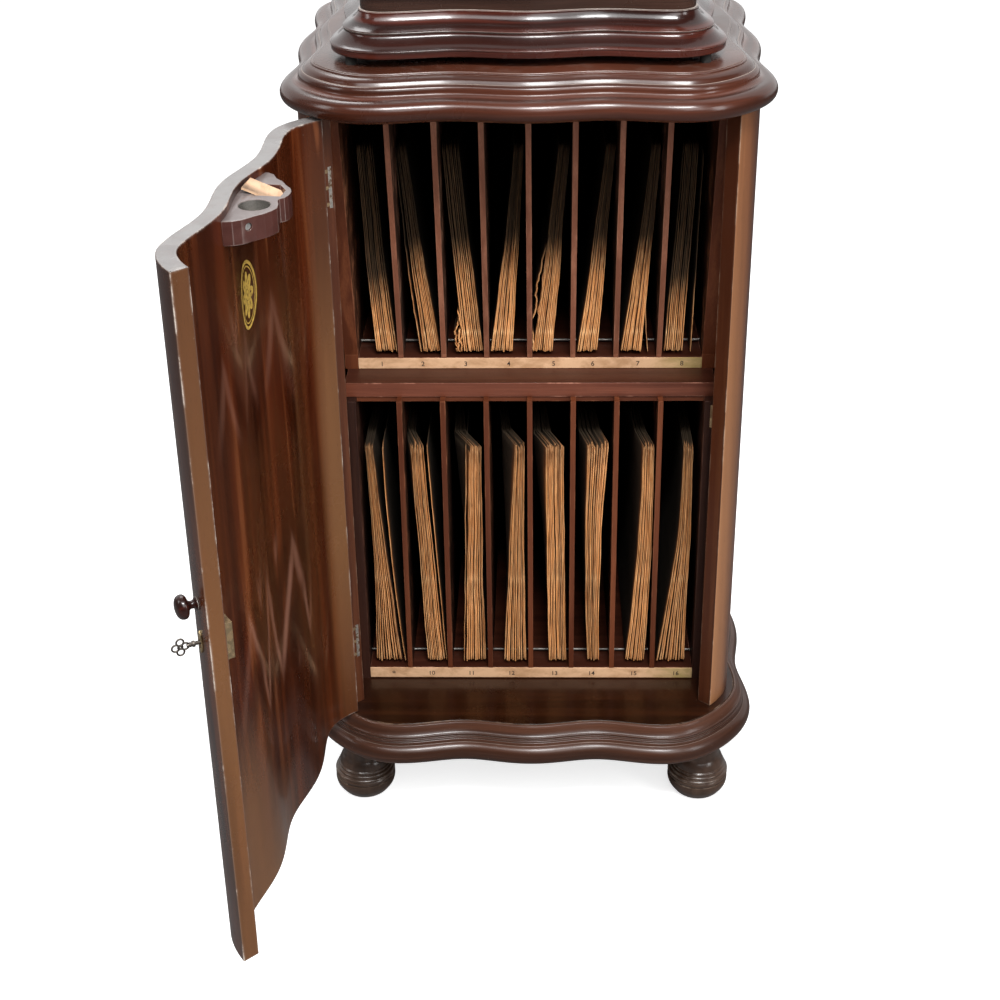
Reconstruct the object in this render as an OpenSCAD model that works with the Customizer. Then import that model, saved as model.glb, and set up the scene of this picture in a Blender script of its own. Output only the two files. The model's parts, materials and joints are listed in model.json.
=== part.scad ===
// Record cabinet of a talking machine: a serpentine-sided pedestal on bun feet
// with one hinged door and a two-tier record rack. All sizes in millimetres.

/* [Plan] */
// Half width and half depth of the body at the middle of each face
half_w = 246.6; // [240:1:252]
// Distance of the outer crest of each face from its middle
crest = 161.2; // [159:0.5:163]
// Amplitude of the serpentine wave
wave = 4.56; // [4:0.1:4.8]
// Thickness of the walls and the door
wall_t = 18; // [16:1:18]

/* [Heights] */
// Height of the base floor above the ground
floor_z = 131; // [130:1:132]
// Inside height between the base floor and the cornice
inside_h = 752; // [750:1:756]

/* [Door] */
// Angle by which the door stands open
door_open = 98.68; // [90:1:110]

/* [Rack] */
// Distance from one divider to the next
pitch = 50.8; // [50:0.1:51]
// Thickness of a divider
div_t = 6; // [5:0.5:6]
// Number of dividers in a tier
div_n = 7; // [7]

/* [Hidden] */
$fn = 48;

e = 0.01;
y0 = -159;                 // front plane of the rack
nw = 20;                   // points along one wave
nc = 12;                   // points round one corner

// ---- plan curve: one side is a wave followed by a rounded corner ----
corner_r = half_w - crest;
function wave_pt(x, h, c) = [x, -(h - wave + wave * cos(360 * x / c))];
function wave_nm(x, c) = let (k = 360 / c, s = wave * k * PI / 180 * sin(k * x), n = sqrt(s * s + 1)) [s / n, -1 / n];
function flat_k(h, c) = h - c > 60 ? 0.05 : 0;
function corner_rad(a, h, c) = (h - c) * (1 - flat_k(h, c) * pow(sin(2 * a), 2));
function corner_pt(a, h, c) = [c, -c] + corner_rad(a, h, c) * [cos(a), sin(a)];
function corner_nm(a, h, c) = let (r = corner_rad(a, h, c), d = -(h - c) * flat_k(h, c) * 2 * sin(4 * a),
  v = r * [cos(a), sin(a)] - d * [-sin(a), cos(a)], n = norm(v)) v / n;
function side_pts(p, h, c, n1, n2) = concat(
  [for (i = [0 : n1 - 1]) let (x = -c + 2 * c * i / n1) wave_pt(x, h, c) + p * wave_nm(x, c)],
  [for (i = [0 : n2 - 1]) let (a = -90 + 90 * i / n2) corner_pt(a, h, c) + p * corner_nm(a, h, c)]);
function turn(v, a) = [v[0] * cos(a) - v[1] * sin(a), v[0] * sin(a) + v[1] * cos(a)];
function loop_pts(p, h = half_w, c = crest, n1 = nw, n2 = nc) =
  let (s = side_pts(p, h, c, n1, n2)) [for (k = [0 : 3]) for (v = s) turn(v, 90 * k)];

// Points of one wall: front face from the left mitre to the right one, then back along the inner face
mitre_o = -42.45;
mitre_i = -43.5;
function arc_run(p, a0, a1, n) = [for (i = [0 : n]) let (a = a0 + (a1 - a0) * i / n) corner_pt(a, half_w, crest) + p * corner_nm(a, half_w, crest)];
function flip(v) = [for (i = [len(v) - 1 : -1 : 0]) [-v[i][0], v[i][1]]];
function wave_run(p) = [for (i = [1 : 2 * nw - 1]) let (x = -crest + crest * i / nw) wave_pt(x, half_w, crest) + p * wave_nm(x, crest)];
function face_run(p, a) = let (r = arc_run(p, -90, a, 10)) concat(flip(r), wave_run(p), r);
function reverse(v) = [for (i = [len(v) - 1 : -1 : 0]) v[i]];
module wall_plan(gap = 0) {
  da = gap / (corner_r) * 180 / PI;
  polygon(concat(face_run(0, mitre_o - da), reverse(face_run(-wall_t, mitre_i - da))));
}
// Wall that starts at the right-hand mitre of the front and ends at the next side's far mitre
module side_plan(gap = 0) {
  da = gap / (corner_r) * 180 / PI;
  o = concat(arc_run(0, mitre_o + da, 0, 6), [for (v = wave_run(0)) turn(v, 90)], [for (v = arc_run(0, -90, -45 - da, 6)) turn(v, 90)]);
  i = concat(arc_run(-wall_t, mitre_i + da, 0, 6), [for (v = wave_run(-wall_t)) turn(v, 90)], [for (v = arc_run(-wall_t, -90, -45 - da, 6)) turn(v, 90)]);
  polygon(concat(o, reverse(i)));
}
module rear_plan() {
  o = concat(flip([for (v = arc_run(0, -90, -45, 6)) v]), wave_run(0), arc_run(0, -90, -45, 6));
  i = concat(flip([for (v = arc_run(-wall_t, -90, -45, 6)) v]), wave_run(-wall_t), arc_run(-wall_t, -90, -45, 6));
  rotate(180) polygon(concat(o, reverse(i)));
}

// ---- moulding swept round the plan: prof is a closed list of [offset, z] ----
module sweep(prof, h, c, n1, n2) {
  m = len(prof);
  L = [for (q = prof) [for (v = loop_pts(q[0], h, c, n1, n2)) [v[0], v[1], q[1]]]];
  n = len(L[0]);
  polyhedron([for (r = L) each r],
    [for (j = [0 : m - 1]) for (i = [0 : n - 1]) let (a = j * n + i, b = j * n + (i + 1) % n, c2 = ((j + 1) % m) * n + (i + 1) % n, d = ((j + 1) % m) * n + i)
      each [[a, d, c2], [a, c2, b]]]);
}
// Solid board with a moulded edge: prof runs from the underside to the top
module board(prof, h, c, n1, n2) {
  m = len(prof);
  L = [for (q = prof) [for (v = loop_pts(q[0], h, c, n1, n2)) [v[0], v[1], q[1]]]];
  n = len(L[0]);
  polyhedron([for (r = L) each r], concat(
    [[for (i = [0 : n - 1]) i]],
    [for (j = [0 : m - 2]) for (i = [0 : n - 1]) let (a = j * n + i, b = j * n + (i + 1) % n, c2 = (j + 1) * n + (i + 1) % n, d = (j + 1) * n + i)
      each [[a, d, c2], [a, c2, b]]],
    [[for (i = [n - 1 : -1 : 0]) (m - 1) * n + i]]));
}
function arc2(cx, cz, r, a0, a1, n) = [for (i = [0 : n]) let (a = a0 + (a1 - a0) * i / n) [cx + r * cos(a), cz + r * sin(a)]];

// ---- base ----
base_prof = concat([[8.6, -0.2]], [[10, 0.2]], [[12.4, -1.4], [14.6, -4.6], [16, -8.6], [18.4, -11.4], [20.4, -13.6], [19.6, -15.4], [21.6, -17], [22, -20.4]],
  arc2(17.6, -35.3, 13.6, 64, -82, 7), [[8.6, -48.9]]);
module base_moulding() color([0.28, 0.18, 0.14]) translate([0, 0, floor_z]) sweep(base_prof, half_w, crest, 20, 10);
module base_floor() color([0.27, 0.12, 0.08]) translate([0, 0, floor_z - 21]) linear_extrude(21) polygon(loop_pts(8.5, half_w, crest, 20, 10));
module base_frame() color([0.2, 0.12, 0.09]) translate([0, 0, floor_z - 48.9]) linear_extrude(27.9 - e)
  difference() { polygon(loop_pts(8.5, half_w, crest, 20, 10)); polygon(loop_pts(-60, half_w, crest, 20, 10)); }
foot_x = 210.5;
foot_y = 207;
foot_prof = [[0, 0], [25, 0], [29, 2.6], [33, 8], [35.6, 11.5], [36.9, 15], [37.4, 20], [37.2, 22.6], [36.3, 23.5], [36.3, 25], [37.3, 26.4], [37.3, 27.8],
  [36.6, 29.4], [36.6, 30.4], [37.5, 31.6], [37.3, 33.4], [35, 34.6], [34.9, 35.4], [35.3, 36.4], [35, 38], [33, 39.2], [32.9, 40], [33.3, 41], [33, 42.4],
  [32, 43.2], [31.2, 46], [29.9, 50], [28, 53], [26.6, 55.4], [26, 60], [26, floor_z - 48.9 - e], [0, floor_z - 48.9 - e]];
module foot(sx, sy) color([0.24, 0.15, 0.11]) translate([sx * foot_x, sy * foot_y, 0]) rotate_extrude($fn = 64) polygon(foot_prof);

// ---- carcass ----
hinge_zc = [90.2, 669.4];
pivot = [-corner_pt(mitre_o, half_w, crest)[0], corner_pt(mitre_o, half_w, crest)[1]];
leaf_h = 46;
knuckle_r = 2.6;
mitre_dir = [0.784, 0.62];       // along the left mitre, from the outer arris inwards
mitre_a = atan2(mitre_dir[1], mitre_dir[0]);
module at_hinges() for (z = hinge_zc) translate([pivot[0], pivot[1], floor_z + z - leaf_h / 2]) children();
module hinge_space() at_hinges() translate([0, 0, -0.6]) cylinder(r = knuckle_r + 0.5, h = leaf_h + 1.2);
// Frame at the lock: origin on the door's inner arris, +X towards the right-hand panel, +Y into the cabinet
lock_o = corner_pt(mitre_i, half_w, crest) - wall_t * corner_nm(mitre_i, half_w, crest);
lock_a = 42.97;
module at_lock(z = 0) translate([lock_o[0], lock_o[1], floor_z + z]) rotate([0, 0, lock_a]) children();
module side_panel_right() color([0.25, 0.1, 0.07]) difference() {
  translate([0, 0, floor_z + e]) linear_extrude(inside_h - 2 * e) side_plan(0.4);
  at_lock(0) translate([-2, -5.4, 387.4]) cube([14, 3.8, 11.2]);
  at_lock(0) rotate([0, 0, 8.6]) translate([-1, -9.4, 379]) cube([3.2, 12.6, 28]);
}
module side_panel_left() color([0.25, 0.1, 0.07]) difference() {
  translate([0, 0, floor_z + e]) linear_extrude(inside_h - 2 * e) mirror([1, 0]) side_plan(0.4);
  hinge_space();
  leaf_pockets(1);
}
module back_panel() color([0.22, 0.1, 0.07]) translate([0, 0, floor_z + e]) linear_extrude(inside_h - 2 * e) rear_plan();

// ---- hinges: two leaves let into the mitre faces, knuckles round one pin ----
leaf_w = 13.2;
module leaf_pockets(s) at_hinges() rotate([0, 0, mitre_a]) translate([0, s > 0 ? -1 : -1.7, -0.2]) cube([leaf_w + 2.3, s > 0 ? 2.7 : 2.7, leaf_h + 0.4]);
seg = leaf_h / 5;
module leaf(s) rotate([0, 0, mitre_a]) {
  ys = s > 0 ? 0.25 : -1.55;
  union() {
    difference() {
      translate([3.2, ys, 0]) cube([leaf_w - 1.3, 1.3, leaf_h]);
      for (k = [0.5, 2.5, 4.5]) translate([9, 0, k * seg]) rotate([90, 0, 0]) cylinder(r = 2.25, h = 8, center = true);
    }
    for (i = s > 0 ? [0, 2, 4] : [1, 3]) translate([0, 0, i * seg + (i == 0 ? 0 : 0.2)]) linear_extrude(seg - (i == 0 || i == 4 ? 0.2 : 0.4))
      difference() { union() { circle(r = knuckle_r); translate([0, ys]) square([4, 1.3]); } circle(r = 1.3); }
  }
}
module hinge_frame_leaves() color([0.75, 0.65, 0.45]) at_hinges() leaf(1);
module hinge_pins() color([0.8, 0.78, 0.72]) at_hinges() translate([0, 0, -0.5]) cylinder(r = 1.25, h = leaf_h + 1);
module screw_head(r = 2.6, h = 0.9) difference() { cylinder(r = r, h = h); translate([-r - 1, -0.35, h - 0.5]) cube([2 * r + 2, 0.7, 1]); }
module frame_screws() color([0.75, 0.68, 0.5]) {
  at_hinges() for (z = [seg * 0.5, seg * 2.5, seg * 4.5]) rotate([0, 0, mitre_a]) translate([9, 0, z]) rotate([90, 0, 0]) translate([0, 0, -1.45]) cylinder(r = 2.2, h = 1.35);
  for (z = [383, 403]) at_lock(z) rotate([0, 0, 8.6]) translate([1.6, -3.4, 0]) rotate([0, -90, 0]) cylinder(r = 2, h = 0.9);
}
module strike_plate() color([0.78, 0.66, 0.42]) difference() {
  at_lock(0) rotate([0, 0, 8.6]) translate([0.75, -9.2, 379.2]) cube([1.3, 12.2, 27.6]);
  at_lock(0) translate([-2, -5.4, 387.4]) cube([14, 3.8, 11.2]);
  for (z = [383, 403]) at_lock(z) rotate([0, 0, 8.6]) translate([2.2, -3.4, 0]) rotate([0, -90, 0]) cylinder(r = 2.1, h = 2);
}

// ---- cornice and the lower part of the case above ----
cornice_z = floor_z + inside_h;
module cornice_board() color([0.27, 0.17, 0.13]) translate([0, 0, cornice_z]) board(concat([[2, 0]], arc2(5.8, 11.7, 11.7, -82, 82, 8), [[2, 23.4]]), half_w, crest, 20, 10);
cornice_prof = [[3, 23.45], [0.4, 24.2], [-2.7, 26.8], [-2.7, 28.2], [-3.2, 31.6], [-4.8, 33.6], [-6, 34.3], [-7.4, 34.8], [-9.4, 37.6], [-12.6, 40.4], [-15.6, 41.6], [-17.6, 42], [-18.2, 43.4], [-19.9, 44.7]];
module cornice_moulding() color([0.27, 0.17, 0.13]) translate([0, 0, cornice_z]) board(cornice_prof, half_w, crest, 20, 8);
case_h = 175.5;
case_c = 151.5;
case_prof = [[31.4, 0], [32.6, 1], [32.8, 6.4], [33.6, 7.4], [33.4, 8.6], [30.6, 10], [25.6, 13.6], [21, 17.6], [18.4, 20.2], [18.2, 22.8], [19.6, 23.6], [19.4, 24.6],
  [14.4, 27], [8, 31.2], [3.6, 36], [2.2, 39.4], [2.4, 41], [1, 42]];
module case_moulding() color([0.26, 0.16, 0.12]) translate([0, 0, floor_z + 806]) board(case_prof, case_h, case_c, 19, 8);
module case_wall() color([0.25, 0.14, 0.1]) translate([0, 0, floor_z + 848 + e]) linear_extrude(52)
  difference() { polygon(loop_pts(0, case_h, case_c, nw, nc)); polygon(loop_pts(-12, case_h, case_c, nw, nc)); }
module case_deck() color([0.25, 0.14, 0.1]) translate([0, 0, floor_z + 900 + 2 * e]) linear_extrude(6) polygon(loop_pts(0, case_h, case_c, nw, nc));
module case_pads() color([0.12, 0.1, 0.09]) for (sx = [-1, 1]) for (sy = [-1, 1]) translate([sx * 184, sy * 186, floor_z + 796.7 + e]) cylinder(r = 6, h = 9.3 - 2 * e);

// ---- rack: side profile drawn in [depth from the front plane, height] ----
rack_w = 203.2;
side_t = 16;
rack_d = 322;
module plate(x, t, pts) translate([x, y0, floor_z]) rotate([90, 0, 90]) linear_extrude(t) polygon(pts);
function slant(z) = 52.5 - 0.22 * (z - 427);
lower_pts = [[0, 16.3], [rack_d, 16.3], [rack_d, 384.5], [14.2, 384.5], [14.2, 390.8], [0, 390.8]];
upper_pts = [[52.5, 422.9], [rack_d, 422.9], [rack_d, inside_h - e], [slant(inside_h), inside_h - e], [slant(427), 427]];
rod_lo = [[36, 20.1], [286, 20.1]];
rod_hi = [[97, 426.2], [286, 426.2]];
module rod_holes(rods) for (q = rods) translate([-240, y0 + q[0], floor_z + q[1]]) rotate([0, 90, 0]) cylinder(r = 1.6, h = 480);
module dividers_lower() color([0.3, 0.13, 0.09]) difference() { for (i = [0 : div_n - 1]) plate((i - (div_n - 1) / 2) * pitch - div_t / 2, div_t, lower_pts); rod_holes(rod_lo); }
module dividers_upper() color([0.3, 0.13, 0.09]) difference() { for (i = [0 : div_n - 1]) plate((i - (div_n - 1) / 2) * pitch - div_t / 2, div_t, upper_pts); rod_holes(rod_hi); }
module rack_sides_lower() color([0.24, 0.1, 0.07]) difference() { for (x = [-rack_w - side_t, rack_w]) plate(x, side_t, [[0, e], [rack_d, e], [rack_d, 391 - e], [12.6, 391 - e], [0, 390.8]]); rod_holes_in(rod_lo); }
module rack_sides_upper() color([0.24, 0.1, 0.07]) difference() { for (x = [-rack_w - side_t, rack_w]) plate(x, side_t, [[52.5, 408.9], [rack_d, 408.9], [rack_d, inside_h - e], [slant(inside_h), inside_h - e], [slant(427), 427]]); rod_holes_in(rod_hi); }
module rod_holes_in(rods) for (q = rods) translate([-rack_w - 6, y0 + q[0], floor_z + q[1]]) rotate([0, 90, 0]) cylinder(r = 1.6, h = 2 * rack_w + 12);
module rods(q) for (r = q) translate([-rack_w - 5.5, y0 + r[0], floor_z + r[1]]) rotate([0, 90, 0]) cylinder(r = 1.5, h = 2 * rack_w + 11);
module rack_floor_lower() color([0.22, 0.1, 0.07]) translate([-rack_w + e, y0 + 1.2, floor_z + e]) cube([2 * rack_w - 2 * e, rack_d - 1.2, 16.3 - 2 * e]);
module rack_floor_upper() color([0.22, 0.1, 0.07]) translate([-rack_w + e, y0 + 53.7, floor_z + 408.9]) cube([2 * rack_w - 2 * e, rack_d - 53.7, 14 - 2 * e]);
module rack_top_lower() color([0.22, 0.1, 0.07]) translate([-rack_w + e, y0 + 14.2 + e, floor_z + 384.5 + e]) cube([2 * rack_w - 2 * e, rack_d - 14.3, 6.5 - 2 * e]);
module mid_shelf() color([0.35, 0.14, 0.1]) translate([-216, y0 + 12.6, floor_z + 391]) cube([432, rack_d - 12.6, 17.9 - e]);
module rack_back() color([0.2, 0.1, 0.07]) translate([-rack_w - side_t, y0 + rack_d + e, floor_z + e]) cube([2 * (rack_w + side_t), 9, inside_h - 2 * e]);
module label_strip_lower() color([0.86, 0.8, 0.66]) translate([-rack_w + e, y0, floor_z + 1.5]) cube([2 * rack_w - 2 * e, 1.2 - e, 14.6]);
module label_strip_upper() color([0.86, 0.8, 0.66]) translate([-rack_w + e, y0 + 52.5, floor_z + 409.2]) cube([2 * rack_w - 2 * e, 1.2 - e, 13.4]);

// ---- door, drawn closed and turned open about the hinge line ----
module opened() translate([pivot[0], pivot[1], 0]) rotate([0, 0, -door_open]) translate([-pivot[0], -pivot[1], 0]) children();
// Outer face at the lock: plan point and outward normal
lock_face = corner_pt(-57.9, half_w, crest);
lock_n = corner_nm(-57.9, half_w, crest);
module on_face(z) translate([lock_face[0], lock_face[1], floor_z + z]) rotate([0, 0, atan2(lock_n[1], lock_n[0])]) rotate([0, 90, 0]) children();
door_z0 = 2;
door_z1 = inside_h - 1.5;
module door_panel() color([0.33, 0.11, 0.08]) opened() difference() {
  translate([0, 0, floor_z + door_z0]) linear_extrude(door_z1 - door_z0) wall_plan(0.4);
  hinge_space();
  leaf_pockets(-1);
  at_lock(361.8) translate([-26.7, -6.7, 0]) cube([24.4, 14.2, 39.4]);
  at_lock(387.4) translate([-4, -5.4, 0]) cube([8, 3.8, 11.2]);
  on_face(379) translate([0, 0, -14]) cylinder(r = 5.4, h = 16);
  on_face(421) translate([0, 0, -12]) cylinder(r = 2.6, h = 14);
}
module hinge_door_leaves() color([0.75, 0.65, 0.45]) opened() at_hinges() leaf(-1);
module door_screws() color([0.75, 0.68, 0.5]) opened() {
  at_hinges() for (z = [seg * 0.5, seg * 2.5, seg * 4.5]) rotate([0, 0, mitre_a]) translate([9, 0, z]) rotate([90, 0, 0]) translate([0, 0, 0.1]) cylinder(r = 2.2, h = 1.35);
}
module door_knob() color([0.3, 0.17, 0.1]) opened() on_face(421) {
  translate([0, 0, -11]) cylinder(r = 2.4, h = 12);
  rotate_extrude($fn = 48) polygon([[0, 0.2], [6.6, 0.2], [6.8, 1.4], [5.6, 2.4], [4.2, 3.4], [3.9, 6], [4.6, 8.4], [8.4, 9.6], [10.9, 11.4], [11.75, 14], [11.4, 16.4], [9.8, 18.6], [6.6, 20.2], [3, 20.9], [0, 21]]);
}
module escutcheon() color([0.78, 0.66, 0.42]) opened() on_face(379) difference() {
  intersection() { translate([0, 15.2, 0.2]) cylinder(r = 19.6, h = 1.2, $fn = 96); translate([0, -15.2, 0.2]) cylinder(r = 19.6, h = 1.2, $fn = 96); cube([40, 40, 10], center = true); }
  translate([0, 0, -1]) cylinder(r = 2.6, h = 5);
  translate([0, -1.2, -1]) cube([8, 2.4, 5]);
}
module lock_case() color([0.78, 0.66, 0.42]) opened() difference() {
  at_lock(362) translate([-26.5, -6.5, 0]) cube([24, 13.8, 39]);
  at_lock(363.2) translate([-25.3, -5.3, 0]) cube([21.6, 11.4, 36.6]);
  at_lock(387.4) translate([-5, -5.4, 0]) cube([4, 3.8, 11.2]);
  on_face(379) translate([0, 0, -14]) cylinder(r = 4.6, h = 16);
}
module lock_bolt() color([0.7, 0.6, 0.4]) opened() at_lock(388) translate([-20, -5, 0]) cube([19.6, 3, 10]);
module ring(r, w, h) difference() { cylinder(r = r, h = h, center = true); cylinder(r = r - w, h = h + 2, center = true); }
module key() color([0.3, 0.27, 0.25]) opened() on_face(379) {
  translate([0, 0, -19.4]) cylinder(r = 1.9, h = 31.2);
  translate([0, -0.9, -19]) cube([6, 1.8, 4.2]);
  translate([0, 0, 6.2]) cylinder(r = 3, h = 2.6);
  translate([0, 0, 9.8]) cylinder(r = 2.5, h = 1.6);
  for (q = [[0, 4.6], [0, -4.6], [5.2, 0], [-5.2, 0]]) translate([q[0], 0, 20 + q[1]]) rotate([90, 0, 0]) ring(4.2, 1.5, 2.6);
  translate([0, 0, 20]) rotate([90, 0, 0]) ring(2.9, 1.2, 2.2);
  translate([0, 0, 11.6]) cylinder(r = 1.6, h = 2);
}

// ---- bracket on the door's inner face, with a needle cup and an open recess ----
bracket_z0 = 720;
bracket_z1 = 743;
bracket_pts = [[80.8, -236], [80.8, -219], [78.8, -210.2], [74, -203], [62.4, -194.1], [55, -187.4], [47.4, -183.3], [38.5, -180.6], [28.4, -182.4], [20, -185.4], [14.6, -185.6], [11, -182], [5.2, -180.1], [-1, -179.8],
  [-7.4, -180.4], [-16, -183.8], [-24, -190.4], [-33.7, -196.4], [-42, -205], [-52.5, -210.8], [-57.4, -217.3], [-57.4, -236]];
cup = [34, -203.4];
recess_d = 9.5;
// Screw through the bracket's front into the door: its axis stands square to the front
module at_bracket_screw() translate([68.2, -198.5, floor_z + 734.6]) rotate([0, 0, 52.3]) rotate([0, 90, 0]) children();
module needle_bracket() color([0.42, 0.27, 0.2]) opened() difference() {
  translate([0, 0, floor_z + bracket_z0]) linear_extrude(bracket_z1 - bracket_z0) difference() { polygon(bracket_pts); wall_plan(0); }
  translate([cup[0], cup[1], floor_z + bracket_z1 - 13]) cylinder(r = 15, h = 14);
  translate([0, 0, floor_z + bracket_z1 - recess_d]) linear_extrude(recess_d + 1) polygon([[-24, -213], [8, -213], [8, -186.5], [-10, -186.5], [-24, -196]]);
  at_bracket_screw() translate([0, 0, -14]) cylinder(r = 3.7, h = 20);
}
module bracket_screws() color([0.75, 0.72, 0.66]) opened() at_bracket_screw() difference() {
  union() { translate([0, 0, -4.6]) cylinder(r = 3.2, h = 3); translate([0, 0, -13.98]) cylinder(r = 1.8, h = 10); }
  translate([-4, -0.4, -2.2]) cube([8, 0.8, 2]);
}
// Flat stick that leans out of the recess against the door
stick_tilt = 20.8;
module needle_stick() color([0.85, 0.7, 0.55]) opened() {
  difference() {
    translate([-21, -224.5, floor_z + 747.5]) rotate([-stick_tilt, 0, 0]) cube([27, 35.8, 2.4]);
    translate([-23.7, -196.45, floor_z + 725]) rotate([0, 0, 34.2]) cube([25, 10, 30]);
  }
  translate([0, -192.6, floor_z + 734]) cube([6, 5, 3.6]);
}

// ---- records: a bundle of sleeved discs leaning in each slot ----
// Each row: left and right limits at the bottom, the same at the top, number of sleeves
upper_set = [[-182, -157, -193.4, -174.8, 6], [-126.2, -106, -148.6, -141.3, 5], [-77.6, -54.8, -97.4, -77.6, 6], [-46.6, -19.7, -16.4, -5.2, 7],
  [4, 27.6, 37, 46.6, 6], [55.9, 84.2, 90, 97.4, 7], [107.8, 139.6, 142.6, 148.2, 8], [158.1, 190.2, 175.8, 193.5, 8]];
lower_set = [[-196.2, -158.1, -196.4, -179.8, 9], [-130.2, -105.8, -141.8, -119.3, 6], [-84.5, -55, -75.5, -56.5, 7], [-33.9, -4.4, -17.5, -5.7, 7],
  [23, 46.4, 19.2, 41.6, 6], [71, 87.4, 67.6, 94.7, 5], [119, 144.2, 133.6, 147.7, 6], [158.1, 195.9, 181.9, 193.7, 8]];
sleeve_d = [254, 305];
module bundle(row, z, dep, h) for (i = [0 : row[4] - 1]) let (n = row[4], b0 = row[0] + (row[1] - row[0]) * i / n, b1 = row[0] + (row[1] - row[0]) * (i + 1) / n - 0.35,
  t0 = row[2] + (row[3] - row[2]) * i / n, t1 = row[2] + (row[3] - row[2]) * (i + 1) / n - 0.2)
  color([0.7, 0.58, 0.42]) translate([0, y0 + dep + (i * 7 % 4), floor_z + z]) rotate([90, 0, 0]) translate([0, 0, -(h - 5)])
    linear_extrude(h - 5) polygon([[b0, 0], [b1, 0], [t1, h], [t0, h]]);
module records_up(i) bundle(upper_set[i], 428.1, 56, sleeve_d[0]);
module records_lo(i) bundle(lower_set[i], 22, 5, sleeve_d[1]);

base_moulding();
base_floor();
base_frame();
foot(-1, -1);  // foot_front_left
foot(1, -1);  // foot_front_right
foot(-1, 1);  // foot_rear_left
foot(1, 1);  // foot_rear_right
side_panel_left();
side_panel_right();
back_panel();
cornice_board();
cornice_moulding();
case_moulding();
case_wall();
case_deck();
case_pads();
mid_shelf();
rack_sides_lower();
rack_sides_upper();
rack_floor_lower();
rack_floor_upper();
rack_top_lower();
rack_back();
dividers_lower();
dividers_upper();
color([0.7, 0.7, 0.7]) rods(rod_lo);  // rods_lower
color([0.7, 0.7, 0.7]) rods(rod_hi);  // rods_upper
label_strip_lower();
label_strip_upper();
hinge_frame_leaves();
hinge_pins();
frame_screws();
strike_plate();
door_panel();
hinge_door_leaves();
door_screws();
door_knob();
escutcheon();
lock_case();
needle_bracket();
bracket_screws();
lock_bolt();
key();
needle_stick();
records_up(0);  // records_01
records_up(1);  // records_02
records_up(2);  // records_03
records_up(3);  // records_04
records_up(4);  // records_05
records_up(5);  // records_06
records_up(6);  // records_07
records_up(7);  // records_08
records_lo(0);  // records_09
records_lo(1);  // records_10
records_lo(2);  // records_11
records_lo(3);  // records_12
records_lo(4);  // records_13
records_lo(5);  // records_14
records_lo(6);  // records_15
records_lo(7);  // records_16
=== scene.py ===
"""Looks of a gramophone record cabinet: serpentine carcass, moulded base and
cornice, two-tier rack of sleeved records, and an open fitted door.

Objects are in metres in the row frame, +Z up, with the door side facing -Y.
Profiles, outlines and places are written in millimetres.
"""
from __future__ import annotations

import json
import logging
import math
import random
from dataclasses import dataclass, field
from enum import Enum
from functools import partial
from typing import Callable, ClassVar, Sequence

import bmesh
import bpy
from mathutils import Matrix, Vector, noise
from mathutils.geometry import tessellate_polygon

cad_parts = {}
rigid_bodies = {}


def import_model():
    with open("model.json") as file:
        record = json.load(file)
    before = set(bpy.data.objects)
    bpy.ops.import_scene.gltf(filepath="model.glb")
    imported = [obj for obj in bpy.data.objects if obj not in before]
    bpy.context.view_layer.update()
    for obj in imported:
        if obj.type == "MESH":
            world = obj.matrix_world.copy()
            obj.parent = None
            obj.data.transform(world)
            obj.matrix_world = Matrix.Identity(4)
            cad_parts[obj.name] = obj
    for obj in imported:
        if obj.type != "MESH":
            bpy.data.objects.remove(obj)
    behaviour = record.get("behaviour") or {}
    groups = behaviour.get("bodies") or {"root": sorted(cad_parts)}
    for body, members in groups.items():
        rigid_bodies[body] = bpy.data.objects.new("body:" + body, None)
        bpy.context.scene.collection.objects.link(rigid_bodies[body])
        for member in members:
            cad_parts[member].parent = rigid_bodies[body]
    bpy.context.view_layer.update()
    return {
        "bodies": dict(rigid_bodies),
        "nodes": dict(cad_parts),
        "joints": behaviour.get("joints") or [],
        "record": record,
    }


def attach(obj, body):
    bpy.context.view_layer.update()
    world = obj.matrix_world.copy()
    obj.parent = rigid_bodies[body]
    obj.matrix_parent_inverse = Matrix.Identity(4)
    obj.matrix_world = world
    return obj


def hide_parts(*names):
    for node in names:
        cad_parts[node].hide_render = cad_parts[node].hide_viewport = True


LOG = logging.getLogger("cabinet")
MM = 0.001
FLOOR_Z = 131.0  # top of the base floor
INSIDE_H = 752.0  # from the base floor to the cornice
RACK_Y = -159.0  # front plane of the rack
THICK = 18.0  # side, back and door panels
DOOR_OPEN = 98.68  # degrees from shut to the photographed pose
CIRCLE = 2 * math.pi
QUARTER = math.radians(90)
LOOP_WAVES, WALL_WAVES, CORNER_STEPS = 72, 96, 22  # points along a side and along a corner

Pair = tuple[float, float]
Triple = tuple[float, float, float]
Obj = bpy.types.Object
Socket = bpy.types.NodeSocket
Faces = list[Sequence[int]]


class Grain(Enum):
    """Direction that the grain of a straight board runs in: its axes with the grain last."""

    UP = (0, 1, 2)
    ACROSS = (1, 2, 0)


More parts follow.
